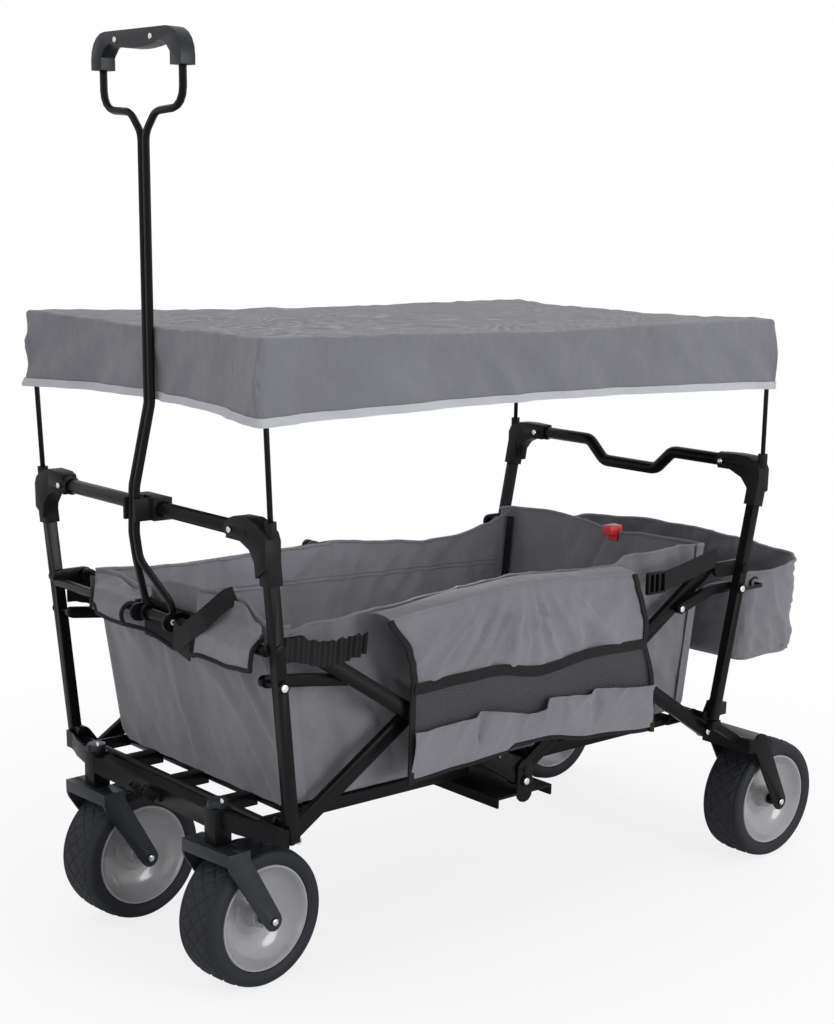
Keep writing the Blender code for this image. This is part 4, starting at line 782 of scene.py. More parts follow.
# %% Screws and rivets
SEAT = 0.0002
SCREW_SHARP = 38
SCREW_Y = 0.214
BRACKET_Z = {"front": 0.650, "rear": 0.665}
HUB_REACH = 0.0520
FORWARD = Vector((-1, 0, 0))
TOWARDS_NEAR = Vector((0, -1, 0))
SINGLE_SCREWS = (
    ("front_frame", at(-0.4740, 0.128, 0.286), FORWARD, 0.0036),
    ("front_frame", at(-0.4740, -0.189, 0.286), FORWARD, 0.0036),
    ("front_frame", at(-0.4625, -0.0607, 0.500), TOWARDS_NEAR, 0.0046),
    ("pull_handle", at(-0.4510, 0.0130, 0.494), TOWARDS_NEAR, 0.0046),
    ("pull_handle", at(-0.4747, 0.030, 1.241), FORWARD, 0.0038),
    ("pull_handle", at(-0.4747, -0.054, 1.241), FORWARD, 0.0038),
)
PIVOT_SCREWS = (
    ("bars_b", "bar_b", "fold"), ("bars_c", "bar_c", "rear_low"),
    ("levers_front", "front_lever", "front_lever_turn"), ("levers_rear", "rear_lever", "rear_lever_turn"),
)


def screw(name, body, place, outward, radius, tall=0.0014):
    """A low bright dome on a surface, with a small dimple for the driver."""
    profile = [(0.0, 0.0), (radius, 0.0), (radius * 0.94, tall * 0.55), (radius * 0.70, tall * 0.9)]
    profile += [(radius * 0.42, tall), (radius * 0.30, tall * 0.45), (0.0, tall * 0.4)]
    form = turned(profile, 20, place + outward * SEAT, outward, closed=False)
    piece(form, name, body, "bright_steel", SCREW_SHARP)


def outer_face(node, side):
    """How far out a node reaches on one side."""
    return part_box(node)[0 if side < 0 else 1].y


for number, facts in enumerate(SINGLE_SCREWS):
    screw(f"screw_front_{number}", *facts)
for side_name, side in SIDES:
    out = Vector((0, side, 0))
    heads = []
    for body, node, joint_name in PIVOT_SCREWS:
        place = PIVOTS[joint_name].copy()
        place.y = outer_face(f"{node}_{side_name}", side)
        heads.append((body, place, out, 0.0052))
    heads.append(("levers_rear", at(0.331, side * 0.2650, 0.450), out, 0.0050))
    for end in ("front", "rear"):
        face_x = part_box(f"{end}_bracket_{side_name}")[0].x
        heads.append((f"{end}_frame", Vector((face_x, side * SCREW_Y, BRACKET_Z[end])), FORWARD, 0.0042))
    heads.append(("centre_plate", at(0.0, outer_face("centre_cross_plate", side), 0.238), out, 0.0052))
    for number, facts in enumerate(heads):
        screw(f"screw_{side_name}_{number}", *facts)
for joint in SPINS:
    axle = Vector(joint["axis"]).normalized()
    for way, way_name in ((-1, "in"), (1, "out")):
        place = Vector(joint["pos_m"]) + axle * way * HUB_REACH
        screw(f"hub_screw_{joint['child']}_{way_name}", joint["parent"], place, axle * way, 0.0050, 0.0018)

# %% [markdown]
# ## How cloth is laid
#
# A cloth piece is a grid whose points are put in place by a function of two shares, one along the piece and
# one down it. Folds come from a smooth noise that is stretched along the direction of a fold: a broad one
# gives soft swells, and the same noise folded at its zero line gives the sharper creases. Layers of folds
# are written as a table: swell or crease, its depth, width and height in metres, its turn, and a number that
# picks the pattern. A second skin makes it a real sheet.


def swell(along, down, wide, tall, turn=0.0, seed=0.0):
    """A soft noise from -1 to 1 on a cloth, stretched to wide by tall metres and turned."""
    first = along * math.cos(turn) + down * math.sin(turn)
    second = down * math.cos(turn) - along * math.sin(turn)
    return noise.noise(Vector((first / wide, second / tall, seed)))


def crease(along, down, wide, tall, turn=0.0, seed=0.0):
    """Sharp ridges, 1 on the ridge and falling to 0 beside it."""
    return max(0.0, 1.0 - 3.2 * abs(swell(along, down, wide, tall, turn, seed)))

def relief(along, down, layers, lean=1.0, shift=0.0):
    """The summed height of a table of folds. Lean mirrors their turns, and shift picks other patterns."""
    return sum(depth * kind(along, down, wide, tall, turn * lean, seed + shift)
               for kind, depth, wide, tall, turn, seed in layers)
def level(place, points):
    """The height at a place, from points that run in one direction, with soft turns between them."""
    points = sorted(points)
    if place <= points[0][0]:
        return points[0][1]
    for (start, low), (end, high) in zip(points, points[1:]):
        if place <= end:
            share = (place - start) / (end - start)
            return low + (high - low) * share * share * (3 - 2 * share)
    return points[-1][1]


def sheet_form(place, cells, thick):
    """A closed skin round a grid of cells, whose middle points the function puts in place."""
    form = bmesh.new()
    bmesh.ops.create_grid(form, x_segments=cells[0], y_segments=cells[1], size=0.5)
    for vert in form.verts:
        vert.co = place(vert.co.x + 0.5, vert.co.y + 0.5)
    return walled(form, thick)


def front_cloth(form, name, slot, sharp, replaces=()):
    """A cloth that rides on the front frame, with a mesh of its own."""
    made = piece(form, name, "front_frame", slot, sharp, replaces)
    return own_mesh(made)
# %% [markdown]
# ## The tub
#
# The tub is three cloths: one that makes both sides and the floor, and one for each end, which ride on the
# front and the rear frame. The side cloth runs down from the near rim, round the floor and up to the far
# rim. Its seams are thin ridges that follow the same folds, so they never float off the cloth.

# %% The tub
FLOOR_Z = 0.2622
CORNER_R = 0.025
SIDE_THICK = 0.0022
LOW_HALF = 0.2205
TOP_HALF = 0.2285
LOW_X = (-0.385, 0.400)
TOP_X = (-0.420, 0.425)
LEAN_TOP_Z = 0.530
NEAR_RIM = ((-0.42, 0.507), (-0.33, 0.512), (-0.25, 0.516), (-0.10, 0.529), (0.0, 0.534), (0.13, 0.527),
            (0.215, 0.524), (0.25, 0.535), (0.36, 0.538), (0.43, 0.536))
FAR_RIM = ((-0.42, 0.519), (-0.29, 0.511), (-0.07, 0.513), (0.02, 0.516), (0.13, 0.504), (0.22, 0.495),
           (0.30, 0.497), (0.37, 0.509), (0.43, 0.527))
SIDE_FOLDS = (
    (swell, 0.0105, 0.14, 0.10, 0.5, 3.1), (crease, 0.0052, 0.12, 0.05, 0.9, 5.7),
    (crease, 0.0046, 0.05, 0.16, -0.35, 9.2), (swell, 0.0024, 0.035, 0.028, 0.0, 1.4),
)
SIDE_SLACK = 0.00525
SEAM_LIFT = 0.0012
SEAMS = (
    ((-0.38, 0.470), (-0.064, 0.462), (0.159, 0.456), (0.40, 0.446)),
    ((-0.38, 0.463), (-0.064, 0.455), (0.159, 0.449), (0.40, 0.439)),
    ((-0.064, 0.460), (-0.014, 0.508)),
    ((-0.058, 0.458), (-0.006, 0.506)),
    ((0.310, 0.385), (0.340, 0.440)),
)


def wall_x(end, z):
    """The outer face of an end wall at a height."""
    share = (z - FLOOR_Z) / (LEAN_TOP_Z - FLOOR_Z)
    return LOW_X[end] + (TOP_X[end] - LOW_X[end]) * share

def tub_runs(near_z, far_z):
    """The lengths of the section's near wall, corner, floor, corner and far wall."""
    tall = FLOOR_Z + CORNER_R
    corner = CORNER_R * math.pi / 2
    return near_z - tall, corner, 2 * (LOW_HALF - CORNER_R), corner, far_z - tall


def tub_section(run, near_z, far_z):
    """A point (y, z) of the tub's section and its outward direction, for a share from near rim to far rim."""
    tall = FLOOR_Z + CORNER_R
    lengths = tub_runs(near_z, far_z)
    reach = run * sum(lengths)
    for index, length in enumerate(lengths):
        if reach <= length or index == 4:
            break
        reach -= length
    share = min(1.0, reach / length)
    if index == 0:
        return -TOP_HALF + (TOP_HALF - LOW_HALF) * share, near_z - reach, Vector((0, -1, 0))
    if index == 4:
        return LOW_HALF + (TOP_HALF - LOW_HALF) * share, tall + reach, Vector((0, 1, 0))
    if index == 2:
        return -LOW_HALF + CORNER_R + reach, FLOOR_Z, Vector((0, 0, -1))
    turn = math.pi + share * math.pi / 2 if index == 1 else 1.5 * math.pi + share * math.pi / 2
    side = -1 if index == 1 else 1
    out = Vector((0, math.cos(turn), math.sin(turn)))
    return side * (LOW_HALF - CORNER_R) + CORNER_R * out.y, tall + CORNER_R * out.z, out


def side_place(along, run, lift=0.0):
    """A point of the side cloth, with its folds. Lift moves it towards the inside of the tub."""
    x = TOP_X[0] + (TOP_X[1] - TOP_X[0]) * along
    x = TOP_X[0] + (TOP_X[1] - TOP_X[0]) * along
    y, z, out = tub_section(run, level(x, NEAR_RIM), level(x, FAR_RIM))
    height = min(1.0, max(0.0, (z - FLOOR_Z) / 0.05))
    inside = min(1.0, 12 * along, 12 * (1 - along))
    depth = SIDE_SLACK + relief(x, run * 0.95, SIDE_FOLDS)
    if y > 0.1:
        depth += 0.0040 * max(0.0, 1 - abs((x - 0.06) * 0.80 + (z - 0.50)) / 0.030)
        depth += 0.0026 * max(0.0, 1 - abs((x + 0.04) * 1.2 - (z - 0.485)) / 0.018)
    inward = max(0.0, depth) * inside * height + lift + 0.0028 * (1 - inside)
    front = wall_x(0, z) + 0.0052
    rear = wall_x(1, z) - 0.0052
    return at(front + (rear - front) * along, y, z) - out * inward


def share_at(x, z):
    """The two shares of a far-wall place, to draw a seam at it."""
    along = (x - TOP_X[0]) / (TOP_X[1] - TOP_X[0])
    far_z = level(x, FAR_RIM)
    whole = sum(tub_runs(level(x, NEAR_RIM), far_z))
    return along, (whole - far_z + z) / whole


def ridge(points):
    """A thin sewn ridge on the inside of the far wall through (x, z) points."""
    pairs = []
    for (x0, z0), (x1, z1) in zip(points, points[1:]):
        pairs += [share_at(x0 + (x1 - x0) * step / 24, z0 + (z1 - z0) * step / 24) for step in range(24)]
    pairs.append(share_at(*points[-1]))
    return swept([side_place(along, run, SEAM_LIFT) for along, run in pairs], 0.0011, 3)


def side_rim(run):
    """The rolled edge of the near wall, at share 0, or of the far one, at share 1."""
    route = [side_place(share, run, 0.001) + Vector((0, 0, 0.0004)) for share in shares(110)]
    return swept(route, 0.0024, 4)


side_cloth = sheet_form(side_place, (120, 140), SIDE_THICK)
trimmings = [ridge(points) for points in SEAMS] + [side_rim(run) for run in (0.0, 1.0)]
front_cloth(joined(side_cloth, *trimmings), "tub_sides", "tub_cloth", CLOTH_SHARP, ["tub_side_fabric"])

FRONT_RIM = ((-0.215, 0.517), (-0.195, 0.524), (-0.165, 0.545), (-0.12, 0.546), (-0.055, 0.541),
             (0.01, 0.538), (0.06, 0.526), (0.105, 0.516), (0.15, 0.526), (0.20, 0.524), (0.22, 0.514))
REAR_RIM = ((-0.23, 0.536), (-0.10, 0.533), (-0.03, 0.527), (0.05, 0.536), (0.12, 0.540), (0.23, 0.534))
UPRIGHT_R = 0.014
UPRIGHT_RUN = 0.022
END_FOLDS = ((swell, 0.0120, 0.080, 0.30, 0.30, 2.0), (crease, 0.0075, 0.06, 0.22, 0.5, 4.4))


def end_place(end, across, down, lift=0.0):
    """A point of an end wall: flat in the middle, and turned round the tub's upright corners at its sides."""
    outward = (-1, 1)[end]
    run = (across - 0.5) * (2 * TOP_HALF + 0.036)
    flat = TOP_HALF - UPRIGHT_R
    beyond = max(0.0, abs(run) - flat)
    turn = min(1.0, beyond / UPRIGHT_RUN) * math.pi / 2
    y = math.copysign(min(abs(run), flat) + UPRIGHT_R * math.sin(turn), run)
    back = UPRIGHT_R * (1 - math.cos(turn)) + max(0.0, beyond - UPRIGHT_RUN)
    rim = level(y, (FRONT_RIM, REAR_RIM)[end])
    z = rim + (FLOOR_Z + 0.001 - rim) * down
    rise = min(1.0, (z - FLOOR_Z) / CORNER_R)
    inner = CORNER_R * (1 - math.sqrt(max(0.0, 1 - (1 - rise) ** 2)))
    narrow = (TOP_HALF - LOW_HALF) * (1 - (z - FLOOR_Z) / (LEAN_TOP_Z - FLOOR_Z)) + inner
    y -= math.copysign(narrow, y) * min(1.0, (abs(y) / flat) ** 4)
    body = min(1.0, 4 * down + 0.15) * min(1.0, 5 * (1 - down) + 0.2)
    depth = relief(y, z, END_FOLDS, outward, end) * body + 0.0026 * swell(y, z, 0.030, 0.06, 0.0, 7.7 + end)
    side = 1 - min(1.0, beyond / 0.01)
    out = (depth * side - 0.0015) * outward - outward * (back + lift)
    return at(wall_x(end, z) + out, y, z)


def end_wall(end, name, body, node):
    """One of the two end walls with its rolled rim: 0 is the front one, 1 the rear one."""
    wall = sheet_form(lambda across, down: end_place(end, across, down), (110, 60), SIDE_THICK)
    rim = swept([end_place(end, share, 0.0, 0.001) for share in shares(110)], 0.0026, 4)
    piece(joined(wall, rim), name, body, "tub_cloth", CLOTH_SHARP, [node])


end_wall(0, "tub_front", "front_frame", "tub_front_wall")
end_wall(1, "tub_rear", "rear_frame", "tub_rear_wall")

# %% [markdown]
# ## The collar on the front wall
#
# Two flaps with a black edge come over the front wall's rim, pass over the cross bar and hang down in front
# of it, one on each side of the handle's yoke. The edging runs on below the yoke, where a black backing
# shows, and a short strap climbs from the yoke over the rim.

# %% The collar on the front wall
COLLAR_LOW = ((-0.209, 0.457), (-0.165, 0.452), (-0.123, 0.448), (-0.069, 0.451), (-0.044, 0.446),
              (-0.018, 0.451), (0.044, 0.458), (0.094, 0.458), (0.168, 0.456), (0.202, 0.460), (0.214, 0.470))
COLLAR_SPANS = {"near": (-0.206, -0.056), "far": (0.104, 0.222)}
COLLAR_DRIFT = {"near": 1.45, "far": 1.75}
COLLAR_ENDS = (-0.250, 0.036)
COLLAR_HANG = 0.020
NOTCH = (0.104, 0.040, 0.489, 0.019)


def along_route(route, share):
    """The point at a share of a route's length."""
    lengths = [(after - before).length for before, after in zip(route, route[1:])]
    reach = share * sum(lengths)
    for before, after, length in zip(route, route[1:], lengths):
        if reach <= length:
            return before.lerp(after, reach / length)
        reach -= length
    return route[-1]


def collar_line(y):
    """The flap's line at a place across the wagon: from the rim, over the bar, and down."""
    rim = level(y, FRONT_RIM) - 0.003
    low = level(y, COLLAR_LOW) + COLLAR_HANG
    corners = [(wall_x(0, rim) - 0.004, y, rim), (-0.4395, y, 0.25 * rim + 0.75 * 0.512), (-0.4550, y, 0.5108),
               (-0.4657, y, 0.5000), (-0.4665, y, 0.480), (-0.4655, y, low)]
    return rounded(corners, 0.010, 5)


def inner_edge(z):
    """Where the far flap ends towards the yoke: high up near its leg, below it in a round notch."""
    if z > 0.511:
        return 0.060
    foot, deep, middle, half = NOTCH
    off = min(1.0, abs(z - middle) / half)
    return foot + deep * math.sqrt(1 - off * off)


def flap_place(side_name, across, down):
    """A point of one flap. It drifts towards the near side as it comes forward over the bar."""
    first, last = COLLAR_SPANS[side_name]
    if side_name == "far":
        first = inner_edge(along_route(collar_line(0.15), down).z)
    y = first + (last - first) * across
    spot = along_route(collar_line(y), down)
    y += COLLAR_DRIFT[side_name] * min(0.0, spot.x + 0.420)
    y = max(COLLAR_ENDS[0] if side_name == "near" else COLLAR_ENDS[1], y)
    hang = min(1.0, max(0.0, (0.508 - spot.z) / 0.05))
    depth = 0.0022 * (1 + swell(y, spot.z, 0.045, 0.14, 0.3, 12.0)) * hang
    depth += 0.0022 * (1 + math.sin(52 * y + 1.2)) * hang
    depth += 0.0010 * (1 + swell(y, spot.z, 0.030, 0.05, 0.6, 13.0))
    return at(spot.x - depth, y, spot.z)


for side_name in ("near", "far"):
    form = sheet_form(lambda across, down: flap_place(side_name, across, down), (56, 40), 0.0016)
    piece(form, f"front_collar_{side_name}", "front_frame", "tub_cloth", CLOTH_SHARP)
near_edge = [flap_place("near", 0.0, share) for share in shares(30, 0.30)]
near_edge += [flap_place("near", share, 1.0) for share in shares(40)[1:]]
far_edge = [flap_place("far", 1.0, share) for share in shares(30, 0.05)[:-1]]
far_edge += [flap_place("far", share, 1.0) for share in shares(40, 1.0, 0.0)]
notch_edge = [flap_place("far", 0.0, share) for share in shares(30, 1.0, 0.45)[1:]]
below_yoke = [at(-0.4560, 0.022, 0.474), at(-0.4480, 0.004, 0.466), at(-0.4440, -0.030, 0.4560),
              at(-0.4500, -0.066, 0.4600)]
edging = joined(swept(near_edge, 0.0032, 5), swept(far_edge + below_yoke + near_edge[-1:-2:-1], 0.0032, 5),
                swept(notch_edge, 0.0030, 5))
piece(edging, "collar_edging", "front_frame", "webbing_black", EDGING_SHARP)

YOKE_THICK = 0.0024
climb = rounded([at(-0.4720, -0.090, 0.484), at(-0.4722, -0.112, 0.500), at(-0.4680, -0.143, 0.522),
                 at(-0.4560, -0.150, 0.534), at(-0.4380, -0.150, 0.5450), at(-0.4230, -0.150, 0.5480)], 0.016)
patch = [at(-0.4685, -0.070, 0.487), at(-0.4700, -0.090, 0.481), at(-0.4705, -0.112, 0.476)]
yoke_strap = joined(strap(climb, (0, 0.015, 0.022), YOKE_THICK), strap(patch, (0, 0.004, -0.036), YOKE_THICK))
piece(yoke_strap, "yoke_strap", "front_frame", "webbing_black", STRAP_SHARP)
back = [at(-0.4345, 0.058, 0.4850), at(-0.4345, 0.010, 0.4830), at(-0.4345, -0.035, 0.4810),
        at(-0.4345, -0.080, 0.4820)]
piece(strap(back, (0, 0, -0.056), 0.0022), "yoke_backing", "front_frame", "webbing_black", STRAP_SHARP)
print("collar done")

# %% [markdown]
# ## The pocket panels
#
# Outside the scissor bars hangs a panel: cloth at the top, a black band, a black net behind which a darker
# cloth shows, and a lower pocket of cloth with two pleats. Black edging runs down both sides and along the
# bottom. The far side isn't seen in the photograph, so it is the same panel in a mirror, with its rim a
# little below the tub's.

# %% The pocket panels
PANEL_Y = 0.2712
PANEL_THICK = 0.0014
FAR_DROP = 0.018
PANEL_RIM = ((-0.264, 0.516), (-0.18, 0.523), (-0.093, 0.530), (-0.021, 0.535), (0.055, 0.532),
             (0.134, 0.527), (0.206, 0.523))
PANEL_LOW = ((-0.226, 0.289), (-0.13, 0.293), (-0.049, 0.297), (-0.030, 0.305), (0.028, 0.304),
             (0.128, 0.288), (0.258, 0.277))
BAND_TOP = ((-0.223, 0.424), (-0.118, 0.426), (-0.079, 0.427), (0.015, 0.413), (0.119, 0.424), (0.235, 0.421))
BAND_TALL = 0.015
NET_LOW = ((-0.223, 0.354), (-0.112, 0.356), (-0.101, 0.361), (0.008, 0.343), (0.020, 0.345), (0.030, 0.360),
           (0.119, 0.352), (0.123, 0.357), (0.250, 0.344))
PLEATS = ((-0.104, 0.315), (0.127, 0.293))
LEFT_EDGE = ((0.270, -0.226), (0.354, -0.224), (0.425, -0.223), (0.468, -0.236), (0.516, -0.264))
RIGHT_EDGE = ((0.268, 0.261), (0.347, 0.255), (0.444, 0.226), (0.523, 0.206))


def panel_point(side, x, z, out):
    """A place on a panel, with the cloth's own slow swells."""
    bulge = 0.0020 * (1 + swell(x, z, 0.12, 0.08, 0.3, 21.0))
    return at(x, side * (PANEL_Y + bulge + out), z)


def panel_cloth(side, top, low, out, folds, along=(0.0, 1.0)):
    """A layer of a panel between two lines of heights, as a function of its two shares."""

    def place(across, down):
        share = along[0] + (along[1] - along[0]) * across
        guess = 0.4
        for _ in range(3):
            left = level(guess, LEFT_EDGE)
            x = left + (level(guess, RIGHT_EDGE) - left) * share
            high = level(x, top)
            guess = high + (level(x, low) - high) * down
        return panel_point(side, x, guess, out + folds(x, guess, down))

    return place


FAN_CREASES = ((crease, 0.0044, 0.10, 0.06, 0.8, 34.0), (crease, 0.0036, 0.13, 0.05, -0.6, 35.0))


def top_folds(x, z, down):
    """Folds that fan out below the middle of the rim."""
    fan = math.atan2(x + 0.02, 0.60 - z)
    rays = 0.0080 * swell(fan, 0.0, 0.20, 1.0, 0.0, 31.0)
    rays += 0.0062 * crease(fan, down * 0.3, 0.19, 0.3, 0.0, 33.0) + relief(x, z, FAN_CREASES)
    return max(0.0, rays + 0.0020) * min(1.0, 3 * down) * min(1.0, 0.35 + 2 * (1 - down)) + 0.0012


def low_folds(x, z, down):
    """The lower pocket stands off a little at its top, and pinches in at its pleats."""
    puff = 0.0042 * (0.6 + swell(x, z, 0.05, 0.08, 0.6, 41.0))
    stand = 0.0050 * (1 - down) + puff * min(1.0, 2.5 * (1 - down))
    for pleat_x, pleat_z in PLEATS:
        width = 0.014 * max(0.0, (z - pleat_z) / 0.05) + 0.0020
        off = abs(x - (pleat_x + (z - pleat_z) * 0.12)) / width
        stand -= 0.0085 * max(0.0, 1 - off) * min(1.0, 1.2 * (1 - down) + 0.2)
    return max(0.0006, stand + 0.0040 * crease(x, z, 0.06, 0.05, 0.7, 42.0) * (1 - down))


def plain(x, z, down):
    """No folds."""
    return 0.0


def net_folds(x, z, down):
    """The net's slow waves."""
    return 0.0026 + 0.0030 * swell(x, z, 0.06, 0.10, 0.0, 51.0)


def raised(points, rise):
    """A line of heights moved up or, with a negative rise, down."""
    return tuple((x, z + rise) for x, z in points)


def pocket_panel(side_name, side):
    """One side's panel: its cloth with the lower pocket, the net, the band, the edging and the hem."""
    tub_rim = NEAR_RIM if side < 0 else FAR_RIM
    panel_rim = PANEL_RIM if side < 0 else tuple((x, level(x, FAR_RIM) - FAR_DROP) for x, _ in PANEL_RIM)
    top = panel_cloth(side, panel_rim, raised(BAND_TOP, -0.002), 0.0, top_folds)

    def crest(across, down):
        """The cloth from the top of the panel over the bars to the tub's rim."""
        start = top(across, 0.0)
        share = (1 - math.cos(math.pi * down)) / 2
        arch = (0.005 if side < 0 else -0.001) * math.sin(math.pi * down)
        y = start.y + (side * TOP_HALF - start.y) * share
        return Vector((start.x, y, start.z + (level(start.x - CENTRE_X, tub_rim) - start.z) * share + arch))

    backing = panel_cloth(side, raised(BAND_TOP, -0.001), PANEL_LOW, -0.0022, plain)
    net = panel_cloth(side, raised(BAND_TOP, -0.008), raised(NET_LOW, -0.012), 0.0014, net_folds)
    band = panel_cloth(side, BAND_TOP, raised(BAND_TOP, -BAND_TALL), 0.0040, net_folds)
    pocket = panel_cloth(side, NET_LOW, PANEL_LOW, 0.0034, low_folds)
    sheets = ((top, (110, 50)), (crest, (110, 12)), (backing, (60, 30)), (pocket, (130, 34)))
    hems = (
        swept([top(share, 0.0) + Vector((0, 0, 0.0002)) for share in shares(80)], 0.0020, 3),
        swept([pocket(share, 0.0) for share in shares(130)], 0.0016, 3),
    )
    grey = joined(*(sheet_form(place, cells, PANEL_THICK) for place, cells in sheets), *hems)
    front_cloth(grey, f"pocket_{side_name}", "pocket_cloth", CLOTH_SHARP, [f"pocket_panel_{side_name}"])
    front_cloth(sheet_form(net, (80, 30), 0.0005), f"pocket_net_{side_name}", "mesh_black", CLOTH_SHARP)
    front_cloth(sheet_form(band, (80, 6), 0.0012), f"pocket_band_{side_name}", "webbing_black", EDGING_SHARP)
    for edge_name, across, lean in (("left", 0.0, 0.009), ("right", 1.0, -0.009)):
        route = [top(across, share) for share in shares(20)]
        route += [backing(across, share) + Vector((0, side * 0.004, 0)) for share in shares(20)[1:]]
        route.append(route[-1] + Vector((0, 0, -0.010)))
        shifted = [place + Vector((0, side * 0.0030, 0)) for place in route]
        front_cloth(strap(shifted, (lean, 0, 0.0015), 0.0036), f"pocket_edging_{edge_name}_{side_name}",
                    "webbing_black", EDGING_SHARP)
    hem = [backing(share, 1.0) + Vector((0, side * 0.0028, -0.004)) for share in shares(60)]
    front_cloth(strap(hem, (0, 0, 0.010), 0.0026), f"pocket_hem_{side_name}", "webbing_black", EDGING_SHARP)


for side_name, side in SIDES:
    pocket_panel(side_name, side)

# %% [markdown]
# ## The straps
#
# On each side a gathered band runs from the front post along the rim, and a strap with a ladder buckle
# pulls the rim tight towards the rear post. The far ones aren't seen in the photograph; they follow the
# lower far rim. A tape covers the seam in the tub's far rear corner.

# %% The straps
STRAP_Y = 0.2735
GATHER_TOP = ((-0.432, 0.516), (-0.362, 0.503), (-0.305, 0.505))
GATHER_LOW = ((-0.432, 0.486), (-0.362, 0.471), (-0.305, 0.478))
GATHER_DROP = {"near": 0.0, "far": 0.020}
PULL_DROP = {"near": 0.0, "far": 0.050}
PULL_LINE = ((0.236, 0.0, 0.5035), (0.276, 0.0, 0.5030), (0.315, 0.0, 0.5090), (0.355, 0.002, 0.5185),
             (0.392, 0.003, 0.5270))
BUCKLE_DEEP = 0.0065
BUCKLE_BARS = (
    (0.234, 0.238, 0.4865, 0.5205), (0.246, 0.2495, 0.4870, 0.5200), (0.257, 0.2605, 0.4870, 0.5200),
    (0.270, 0.2735, 0.4870, 0.5200), (0.235, 0.2735, 0.4865, 0.4900), (0.235, 0.2735, 0.5170, 0.5205),
)


def side_straps(side_name, side):
    """One side's gathered band, pull strap and buckle."""
    outer_y = side * STRAP_Y
    drop = GATHER_DROP[side_name]
    fall = PULL_DROP[side_name]

    def gather(across, down):
        """A band whose ruffles grow towards its rear end."""
        x = -0.434 + 0.131 * across
        strength = 0.25 + 0.75 * across * across
        ruffle = (math.sin(across * 58) + 0.7 * math.sin(across * 37 + 1.0)) * strength
        high = level(x, GATHER_TOP) + 0.0026 * ruffle - drop
        low = level(x, GATHER_LOW) - 0.0014 * math.sin(across * 44) * strength - drop
        stand = 0.0018 * (1 + 0.5 * ruffle) + 0.0020 * strength * math.sin(across * 96 + 2 * down)
        return at(x, outer_y + side * stand, high + (low - high) * down)

    band = sheet_form(gather, (150, 10), 0.0024)
    front_cloth(band, f"gathered_band_{side_name}", "webbing_black", STRAP_SHARP)
    pull = rounded([at(x, outer_y + side * off, z - fall) for x, off, z in PULL_LINE], 0.03)
    front_cloth(strap(pull, (0, 0, 0.030), 0.0018), f"pull_strap_{side_name}", "webbing_black", STRAP_SHARP)
    low_y, high_y = sorted((outer_y, outer_y + side * BUCKLE_DEEP))
    bars = [block(at(x0, low_y, z0 - fall), at(x1, high_y, z1 - fall)) for x0, x1, z0, z1 in BUCKLE_BARS]
    front_cloth(joined(*bars), f"ladder_buckle_{side_name}", "black_plastic", STEEL_SHARP)


for side_name, side in SIDES:
    side_straps(side_name, side)
tape = [at(wall_x(1, z / 1000) - 0.0135, 0.2150, z / 1000) for z in range(520, 380, -10)]
piece(strap(tape, (0.0080, -0.0080, 0), 0.0016), "corner_tape_far", "rear_frame", "webbing_black", STRAP_SHARP)
print("straps done")

# %% [markdown]
# ## The canopy
#
# The canopy starts as a box without a bottom. Its edges are rounded, it is cut into even strips, and each
# point is then moved: the top sags between the corners, the skirt flares at the corners and bows in between
# them, and the wrinkles run across it. The hem is a second, narrower band that goes through the same moves.

# %% The canopy
CANOPY_X = (-0.480, 0.488)
CANOPY_HALF = 0.290
CANOPY_TOP = 0.8915
CANOPY_DROP = 0.1068
CANOPY_SAG = 0.010
HEM_LIFT = 0.008
HEM_TALL = 0.011
FLARE = 0.004
SIDE_BOW = 0.006
FRONT_BOW = 0.023
REAR_BOW = 0.010
CELL = 0.011
HEM_OFF = 0.0012
POLE_ROOM = 0.0030
SKIRT_FOLDS = ((swell, 0.0062, 0.075, 0.26, 0.85, 61.0), (crease, 0.0064, 0.06, 0.30, 0.9, 62.0))
TOP_WRINKLES = ((swell, 0.0030, 0.20, 0.12, 0.3, 64.0), (crease, 0.0016, 0.2, 0.05, 0.7, 65.0))


def drape(spot, out, lift=0.0):
    """Where a point of the straight canopy goes, with its folds along the outward direction."""
    middle = (CANOPY_X[0] + CANOPY_X[1]) / 2
    half = (CANOPY_X[1] - CANOPY_X[0]) / 2
    along = max(-1.0, min(1.0, (spot.x - middle) / half))
    aside = max(-1.0, min(1.0, spot.y / CANOPY_HALF))
    down = (CANOPY_TOP - spot.z) / CANOPY_DROP
    skirt = min(1.0, down * 3)
    flat = 1 - skirt
    edge_middle = 1 - min(along * along, aside * aside)
    x, y, z = spot
    x += FLARE * down * along**3 * aside**2
    y += FLARE * down * aside**3 * along**2
    bow = FRONT_BOW if along < 0 else REAR_BOW
    x -= along**3 * bow * (1 - aside**2)
    y -= aside**3 * SIDE_BOW * (1 - along**2)
    z -= CANOPY_SAG * flat * (1 - along**2 * aside**2) * (2 - along**2 - aside**2) / 2
    z += HEM_LIFT * down * edge_middle
    run = spot.x if abs(out.y) > abs(out.x) else spot.y
    corner = max(0.0, abs(along * aside) - 0.72) / 0.28
    ripple = 0.0034 * swell(run, spot.z, 0.032, 0.16, 0.5, 63.0) * (1 + 1.6 * corner)
    drag = max(-POLE_ROOM, relief(run, spot.z, SKIRT_FOLDS) + ripple)
    top = relief(spot.x, spot.y, TOP_WRINKLES)
    near_edge = max(0.0, 1 - (1 - max(abs(along), abs(aside))) / 0.05) * flat
    top += 0.0020 * swell(spot.x * 2.2, spot.y * 2.2, 0.05, 0.05, 0.0, 66.0) * near_edge
    depth = (drag - 0.0045) * skirt * min(1.0, 0.5 + down) + (top - 0.0008) * flat
    return at(x, y, z) + out * (depth + lift)


